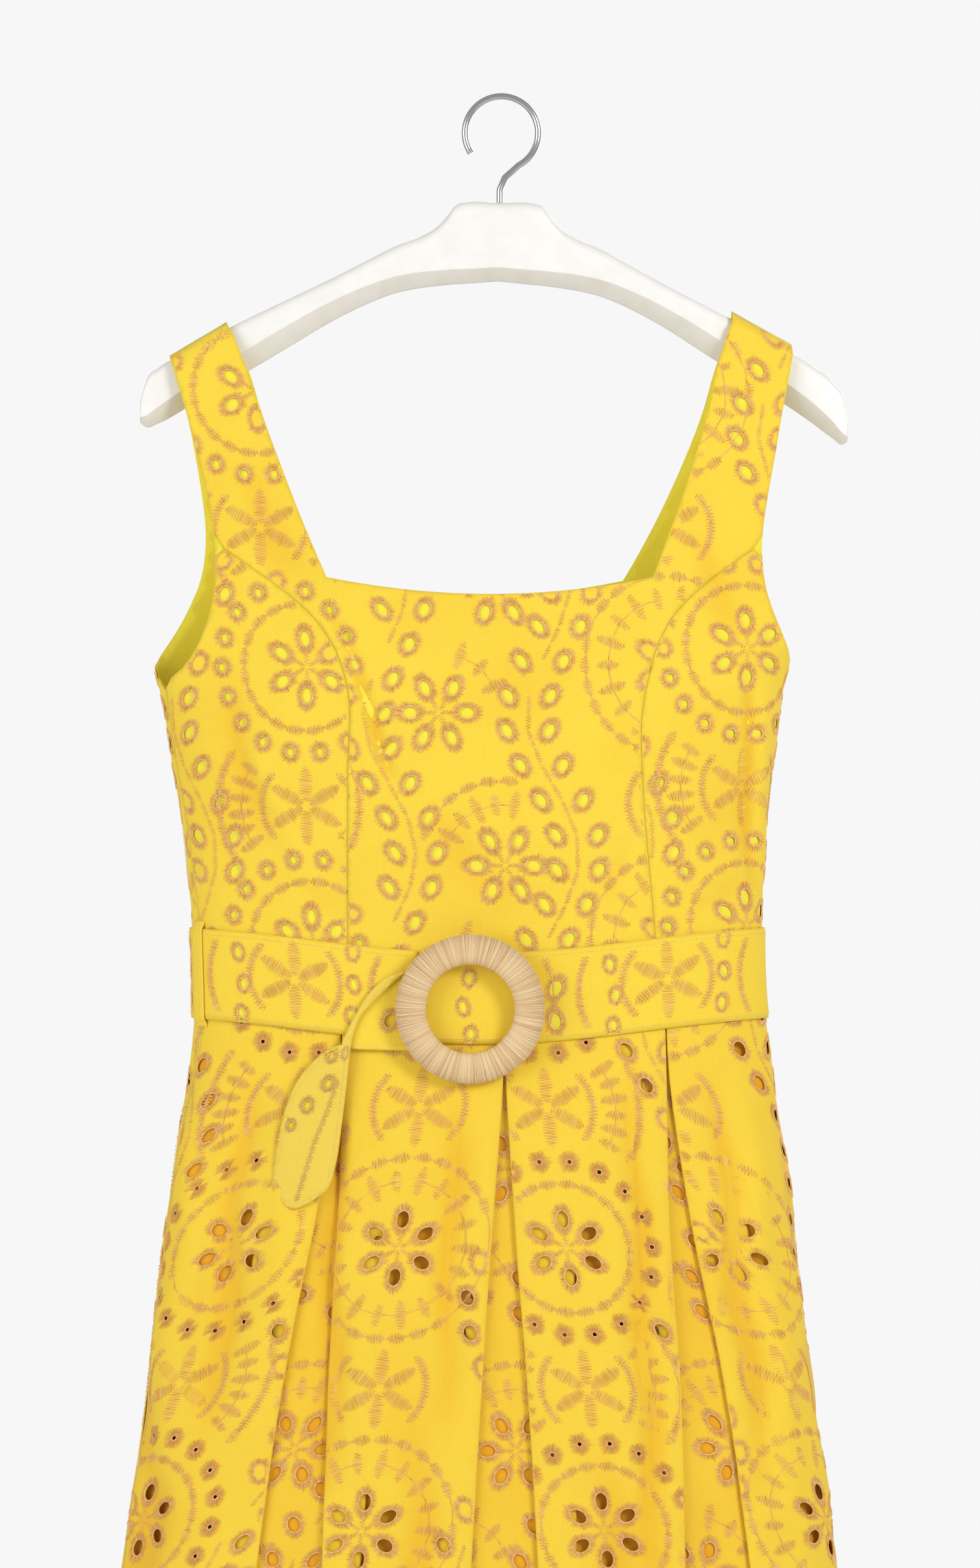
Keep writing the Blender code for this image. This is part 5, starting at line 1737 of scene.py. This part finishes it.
# %% Cut and fold the tail
parts = []
for edge, eyes, place in ((strip_outline, STRIP_EYES, strip_place), (tail_edge, TAIL_EYES, tail_place)):
    holes = [(x, z, wide, long, angle) for x, z, wide, long, _, _, angle in eyes]
    holes = [hole for hole in holes if edge_distance([hole[:2]], edge)[0] > hole[3] + 0.0006]
    flat, triangles = cut_sheet(edge, grid_fill(edge, holes, 0.0026, 0.0009), holes, 14)
    parts.append((flat, triangles, place(*flat.T)))
turns = np.linspace(-math.pi / 2, math.pi / 2, 9)
roll = fold_inner[:, None] + FOLD_RADIUS * np.cos(turns)[None, :, None] * fold_out[:, None]
rise = (1 + np.sin(turns)) / 2
low, high = TAIL_STAND, tail_stand(fold_inner[:, 0], fold_inner[:, 1])[:, None]
flat = roll.reshape(-1, 2)
rolled = beside_ring(*flat.T, (low + (high - low) * rise).ravel())
parts.insert(1, (flat, grid_triangles(len(fold_inner), len(turns)), rolled))
counts = np.cumsum([0] + [len(flat) for flat, _, _ in parts])
flat, places = (np.concatenate([part[i] for part in parts]) for i in (0, 2))
triangles = np.concatenate([part[1] + count for part, count in zip(parts, counts)])
tail = cloth_object("belt_tail_cloth", flat, triangles, places, YELLOW, CLOTH_THICK)
tail.data.materials.append(PALE)
wrong_side = (np.arange(len(triangles)) >= len(parts[0][1])).astype(np.int32)
tail.data.polygons.foreach_set("material_index", wrong_side)
face_out(tail.data, merge_under=0.00002)
finish_piece(tail, "eyelet_cotton", "belt_tail")
print("tail:", len(tail.data.polygons), "triangles")

# %% Embroider and sew the tail
spine = smooth_line(SATIN_SPINE, 0.0052)
satin = [
    bar_stitches(*((a + b) / 2), 0.0062, 0.0030, math.atan2(*(b - a))) for a, b in zip(spine, spine[1:])
]
strip_eyes = [eye_stitches(*eye) for eye in STRIP_EYES]
tail_eyes = [eye_stitches(*eye) for eye in TAIL_EYES]
strip_row = [sewn_line(beside_line(smooth_line(STRIP_LOW), -0.0028))]
tail_rows = [sewn_line(beside_line(line, -0.0026)) for line in (tail_left, tail_tip, tail_right)]
for name, blocks, place, look, edge in (
    ("strip_embroidery", strip_eyes, strip_place, TAN, strip_outline),
    ("embroidery", tail_eyes + satin, tail_place, DULL, tail_edge),
    ("strip_topstitching", strip_row, strip_place, GOLD, strip_outline),
    ("topstitching", tail_rows, tail_place, GOLD, tail_edge),
):
    block = np.concatenate(blocks)
    block = block[inside(block[:, :2], edge) & inside(block[:, 2:4], edge)]
    lay_stitches("belt_tail_" + name, block, place, look)


def behind_tail(x, z):
    """The tail's backing hangs just behind it."""
    return tail_place(x, z, -0.0008)


flat, triangles = cut_sheet(tail_edge, grid_fill(tail_edge, [], 0.0040, 0.0020), [])
inner = flat + (tail_edge.mean(axis=0) - flat) * 0.02
backing = lay_cloth("belt_tail_backing", (inner, triangles), behind_tail, YELLOW, BACKING_THICK)
cut_from(backing, tail_edge, size=[0.044, 0.110])
tail_area = sum(polygon.area for polygon in tail.data.polygons)
TAIL_FLAT = (0.046, 0.130)
print("cut:", tail.name, list(TAIL_FLAT), "m,", round(tail_area, 5), "m2")

# %% [markdown]
# ## Belt carriers
#
# A narrow turned strip at each side seam holds the belt. It bulges over the belt's edges and is sewn
# down above and below it. A bent ribbon curve would give the same shape, but not its pattern place.

# %% Belt carriers
CARRIER = (
    (0.0045, 0.0006), (0.0036, 0.0007), (0.0024, 0.0011), (0.0012, 0.0021),
    (0.0002, 0.0030), (-0.0014, 0.0034), (-0.0060, 0.0034),
)


def carrier_place(side):
    """The rule that lays one carrier over the belt, and its length."""
    over = [(BELT_HALF + up, out) for up, out in CARRIER]
    path = np.array(over + [(0.0, 0.0035)] + [(-up, out) for up, out in reversed(over)])
    along = np.concatenate([[0.0], np.cumsum(np.hypot(*np.diff(path, axis=0).T))])

    def place(x, u, lift=0.0):
        x, u = np.broadcast_arrays(np.asarray(x, float), np.asarray(u, float))
        up = np.interp(u, along, path[:, 0])
        out = np.interp(u, along, path[:, 1])
        s = side * per_level(FRONT, WAIST) + x + per_level(SHIFT, WAIST)
        z = dipped_waist(s) + up
        round_edge = 0.0004 * (np.abs(x) / LOOP_HALF) ** 4
        return on_form(s - per_level(SHIFT, z), z, round_edge - out - lift)

    return place, float(along[-1])


for name, side in (("left", -1), ("right", 1)):
    place, long = carrier_place(side)
    edge = rectangle(-LOOP_HALF, LOOP_HALF, 0.0, long, 0.0012)
    cut = cut_sheet(edge, grid_fill(edge, [], 0.0014, 0.0005), [])
    piece = f"belt_loop_{name}"
    strap = lay_cloth(piece + "_cloth", cut, place, YELLOW, CARRIER_THICK, [piece], -1.0)
    rows = [sewn_line([(x, 0.001), (x, long - 0.001)], 0.0022) for x in (-0.0030, 0.0030)]
    work = lay_stitches(piece + "_stitching", np.concatenate(rows), place, GOLD, -1.0)
    cut_from(strap, edge, [0.010, long])

# %% [markdown]
# ## The wound ring
#
# The buckle is a flat ring wound closely with straw thread. One turn of thread is a closed loop round
# the band, and a Geometry Nodes tree sets hundreds of them round the ring, each a little askew. One
# long spiral is how it is really wound, and single turns look the same and are easier to vary.


# %% The winding tree and one turn of thread
def winding_tree():
    """Sets a loop of thread at every turn round the ring, a little askew, with a tone of its own."""
    tree = GeometryTree(
        "Wind thread", Turns="Int", Radius="Float", Unevenness="Float", Seed="Int", Thread="Material"
    )

    def random_value(offset):
        seed = tree.given["Seed"] + offset
        made = tree.node("FunctionNodeRandomValue", output=1, data_type="FLOAT", Seed=seed)
        low, high = made.socket.node.inputs[2], made.socket.node.inputs[3]
        low.default_value, high.default_value = -1.0, 1.0
        return made

    line = tree.node("GeometryNodeMeshLine", Count=tree.given["Turns"], Offset=(0, 0, 0))
    angle = tree.node("GeometryNodeInputIndex") / tree.given["Turns"] * math.tau
    turn = tree.node("ShaderNodeCombineXYZ", X=random_value(0) * tree.given["Unevenness"], Z=angle)
    out = tree.node("ShaderNodeCombineXYZ", X=tree.given["Radius"])
    spoke = tree.node("ShaderNodeVectorRotate", rotation_type="Z_AXIS", Vector=out, Angle=angle)
    spread = tree.node("GeometryNodeSetPosition", line, Position=spoke)
    toned = tree.node(
        "GeometryNodeStoreNamedAttribute", spread, data_type="FLOAT", domain="POINT",
        Name="tone", Value=random_value(2) * 0.26 + 0.54,
    )
    return tree.lay(toned, tree.given["Geometry"], turn, random_value(1) * 0.010 + 1.0)


def thread_loop(half_wide, half_deep, thick):
    """One closed turn of thread round the ring's band, five-sided and round."""
    points, faces = [], []
    around, sides = 22, 5
    for i in range(around):
        turn = math.tau * i / around
        wide, deep = math.cos(turn), math.sin(turn)
        for j in range(sides):
            side = math.tau * j / sides
            out = thick * math.cos(side)
            points.append(((half_wide + out) * wide, thick * math.sin(side), (half_deep + out) * deep))
            a, b = i * sides + j, i * sides + (j + 1) % sides
            c, d = ((i + 1) % around) * sides + (j + 1) % sides, ((i + 1) % around) * sides + j
            faces.append((a, b, c, d))
    obj = new_object("thread_loop", points, faces)
    obj.data.shade_smooth()
    return obj


print("ring tree and loop ready")

# %% Wind the ring and set it before the belt
TURNS = 340
STRAW_INSET, STRAW_THICK = 0.0003, 0.00036
loop = thread_loop(RING_HALF_BAND - STRAW_INSET, RING_HALF_DEPTH - STRAW_INSET, STRAW_THICK)
ring = solid_from(
    loop, winding_tree(), "buckle_ring_thread",
    Turns=TURNS, Radius=RING_RADIUS, Unevenness=0.022, Seed=4, Thread=STRAW,
)
RING_DEPTH = RING_HALF_DEPTH + 0.0024
STAND_UP = np.array([(1, 0, 0), (0, 0, -1), (0, 1, 0)], float)
ring_arc = arc(RING_Z, RING_X - float(per_level(CENTRE, RING_Z))) - float(per_level(SHIFT, RING_Z))
ring_front = on_form(ring_arc, RING_Z, -TAIL_STAND)
RING_PLACE = np.array([RING_X, ring_front[1] - RING_DEPTH, RING_Z])


def set_up(mesh, deep=1.0):
    """Stands a flat ring up to face the front, and takes it to its place before the belt."""
    spots = np.zeros(len(mesh.vertices) * 3)
    mesh.vertices.foreach_get("co", spots)
    spots = spots.reshape(-1, 3) * (1, 1, deep) @ STAND_UP.T + RING_PLACE
    mesh.vertices.foreach_set("co", spots.ravel())


set_up(ring.data)
face_out(ring.data)
finish_piece(ring, "wound_straw", "buckle_ring")

CORE_HALF, CORE_DEEP = RING_HALF_BAND - 0.0006, RING_HALF_DEPTH - 0.0006
bpy.ops.mesh.primitive_torus_add(
    major_radius=RING_RADIUS, minor_radius=CORE_HALF, major_segments=96, minor_segments=20
)
core = bpy.context.object
core.name = core.data.name = "buckle_ring_core"
set_up(core.data, CORE_DEEP / CORE_HALF)
core.data.materials.append(STRAW)
core.data.shade_smooth()
finish_piece(core, "wound_straw")
print("ring wound with", TURNS, "turns,", len(ring.data.polygons), "faces")

# %% [markdown]
# ## The hanger
#
# The hanger is one loft from tip to tip, through a section that is round above and bevelled in front
# below. The bevel, facing down, gets a darker and creamier copy of the white paint as painted shade. A
# carved block would suit a wooden one, but a loft keeps the photo's outline from a short table.

# %% Hanger body
HANGER_HALF = 0.0065
CROWN = 15
BEVEL_FACES = (CROWN + 4, CROWN + 5, CROWN + 6)
LEFT_END_OUT, LEFT_END_UP = 0.0024, 0.0042
crown_turns = np.linspace(-1, 1, CROWN) * math.pi / 2
outs = np.concatenate([np.linspace(0, 0.19, 70), np.linspace(0.19, 0.21, 22)[1:]])
shape = columns(HANGER, outs)
outs = np.concatenate([-outs[:0:-1], outs])
shape = np.concatenate([shape[:0:-1], shape])
points, faces, bevelled = [], [], []
for out, (top, bevel, bottom) in zip(outs, shape):
    thin = 1.0 - 0.45 * max((abs(out) - 0.19) / 0.02, 0.0) ** 2
    half, soft, ridge = HANGER_HALF * thin, 0.0018 * thin, bottom + bevel
    section = [(half * math.sin(turn), top - half * (1 - math.cos(turn))) for turn in crown_turns]
    section += [(half, bottom + soft), (half - 0.3 * soft, bottom + 0.3 * soft), (half - soft, bottom)]
    section += [(0.20 * half, bottom), (0.14 * half, bottom + 0.0001), (0.06 * half, bottom + 0.04 * bevel)]
    section += [(-0.94 * half, ridge - 0.04 * bevel), (-half, ridge), (-half, ridge + 0.0006)]
    end = max((-out - 0.186) / 0.024, 0.0) ** 2
    for y, height in section:
        x, z = hanger_point(out, height)
        points.append((x - LEFT_END_OUT * end, y, z + LEFT_END_UP * end))
sides = len(section)
faces += [tuple(range(sides)), tuple(reversed(range(len(points) - sides, len(points))))]
for i in range(len(outs) - 1):
    for j in range(sides):
        a, b = i * sides + j, i * sides + (j + 1) % sides
        faces.append((a, a + sides, b + sides, b))
        if j in BEVEL_FACES:
            bevelled.append(len(faces) - 1)
body = new_object(HANGER_PIECE, points, faces)
body.data.materials.append(WHITE)
# the bevel's faces take the painted shade copy of the paint
body.data.materials.append(BEVEL_SHADE)
for face in bevelled:
    body.data.polygons[face].material_index = 1
face_out(body.data)
body.data.shade_smooth()
finish_piece(body, "white_paint", "hanger_body")
print("hanger:", len(body.data.polygons), "faces")

# %% [markdown]
# ## The hook
#
# A steel wire runs up from the hanger's neck and round the rail's place, so a curve with a round bevel
# draws it, and is turned into a mesh. A swept circle would give the same wire with more work.

# %% Hook
HOOK_INSIDE = 0.0200
HOOK_WIRE = 0.0019
radius = HOOK_INSIDE + HOOK_WIRE
seat_x, seat_z = hanger_point(0.0, HANGER[0][1])
bend = (0.0020, -HOOK_INSIDE - 1.22 * radius)
path = [(seat_x, seat_z + 0.0004), (seat_x, seat_z + 0.004), (seat_x, seat_z + 0.008), bend]
for turn in np.radians(np.linspace(-62, 214, 80)):
    path.append((radius * math.cos(turn), -HOOK_INSIDE + radius * math.sin(turn)))
curve = bpy.data.curves.new("hanger_hook_wire", "CURVE")
curve.dimensions = "3D"
curve.bevel_depth = HOOK_WIRE
curve.bevel_resolution = 6
curve.use_fill_caps = True
spline = curve.splines.new("POLY")
spline.points.add(len(path) - 1)
for point, (x, z) in zip(spline.points, path):
    point.co = (x, 0.0, z, 1.0)
drawn = linked("hanger_hook_drawn", curve)
bpy.context.view_layer.update()
mesh = bpy.data.meshes.new_from_object(drawn.evaluated_get(bpy.context.evaluated_depsgraph_get()))
bpy.data.objects.remove(drawn, do_unlink=True)
hook = linked("hanger_hook_wire", mesh)
mesh.materials.clear()
mesh.materials.append(STEEL)
mesh.shade_smooth()
finish_piece(hook, "hook_steel", "hanger_hook")
print("hook:", len(hook.data.polygons), "faces")

# %% [markdown]
# ## Stage and light
#
# The photo is a flat, bright product shot. A pale world and three large soft lights give the same even
# light, with the key a little to the right so pleats and creases shade to the left. One dome light
# would be simpler, but it would fill the creases. The floor is pale paper, well below the photo's edge.

# %% Stage and world
bpy.ops.mesh.primitive_plane_add(size=4.4, location=(0, 0, -1.36))
floor = bpy.context.object
floor.name = "floor"
ground = Look("floor_paper")
grain = ground.object_noise(30.0)
floor.data.materials.append(
    ground.done(Base_Color=ground.mix(grain, srgb("F0F0F0"), srgb("ECECEC")), Roughness=0.9)
)

DAYLIGHT = 0.47
world = bpy.data.worlds.new("studio")
scene.world = world
world.use_nodes = True
lit = world.node_tree.nodes["Background"]
lit.inputs["Color"].default_value = (1.0, 1.0, 1.0, 1.0)
lit.inputs["Strength"].default_value = DAYLIGHT
sky = Tree(world.node_tree)
seen = sky.node("ShaderNodeBackground", srgb("F7F7F7"))
straight = sky.node("ShaderNodeLightPath", output="Is Camera Ray")
blend = sky.node("ShaderNodeMixShader", straight, Value(sky, lit.outputs[0]), seen)
sky.feed(world.node_tree.nodes["World Output"].inputs[0], blend)
print("stage:", floor.name, "and", world.name)


# %% Soft lights
def soft_light(name, place, aim, size, watts):
    """A square area light that looks at a point of the dress."""
    light = bpy.data.lights.new(name, "AREA")
    light.shape = "SQUARE"
    light.size = size
    light.energy = watts
    obj = linked(name, light)
    obj.location = place
    obj.rotation_euler = (Vector(aim) - Vector(place)).to_track_quat("-Z", "Y").to_euler()


soft_light("key", (1.7, -2.0, 0.5), (0, 0, -0.5), 0.8, 33)
soft_light("fill", (-2.2, -1.8, 0.0), (0, 0, -0.6), 1.8, 29)
soft_light("behind", (0.8, 2.4, 0.4), (0, 0, -0.6), 1.4, 22)
print("lights:", len(bpy.data.lights))

# %% [markdown]
# ## Camera
#
# The camera is far off with a long lens, level with the dress and framed as in the photo. A nearer one
# would show more of the hanger's top, which the photo doesn't.

# %% Camera
DISTANCE = 3.0
VIEW_HEIGHT = 0.923
VIEW_MIDDLE = (-0.0069, -0.409)
NEAREST_CLOTH = 0.045
camera = bpy.data.cameras.new("camera")
camera.sensor_width = 36.0
camera.lens = 36.0 * DISTANCE / VIEW_HEIGHT
shot = linked("camera", camera)
shot.location = (VIEW_MIDDLE[0], -DISTANCE - NEAREST_CLOTH, VIEW_MIDDLE[1])
shot.rotation_euler = (math.pi / 2, 0, 0)
scene.camera = shot
scene.view_settings.view_transform = "Standard"
print("camera", DISTANCE, "m off")
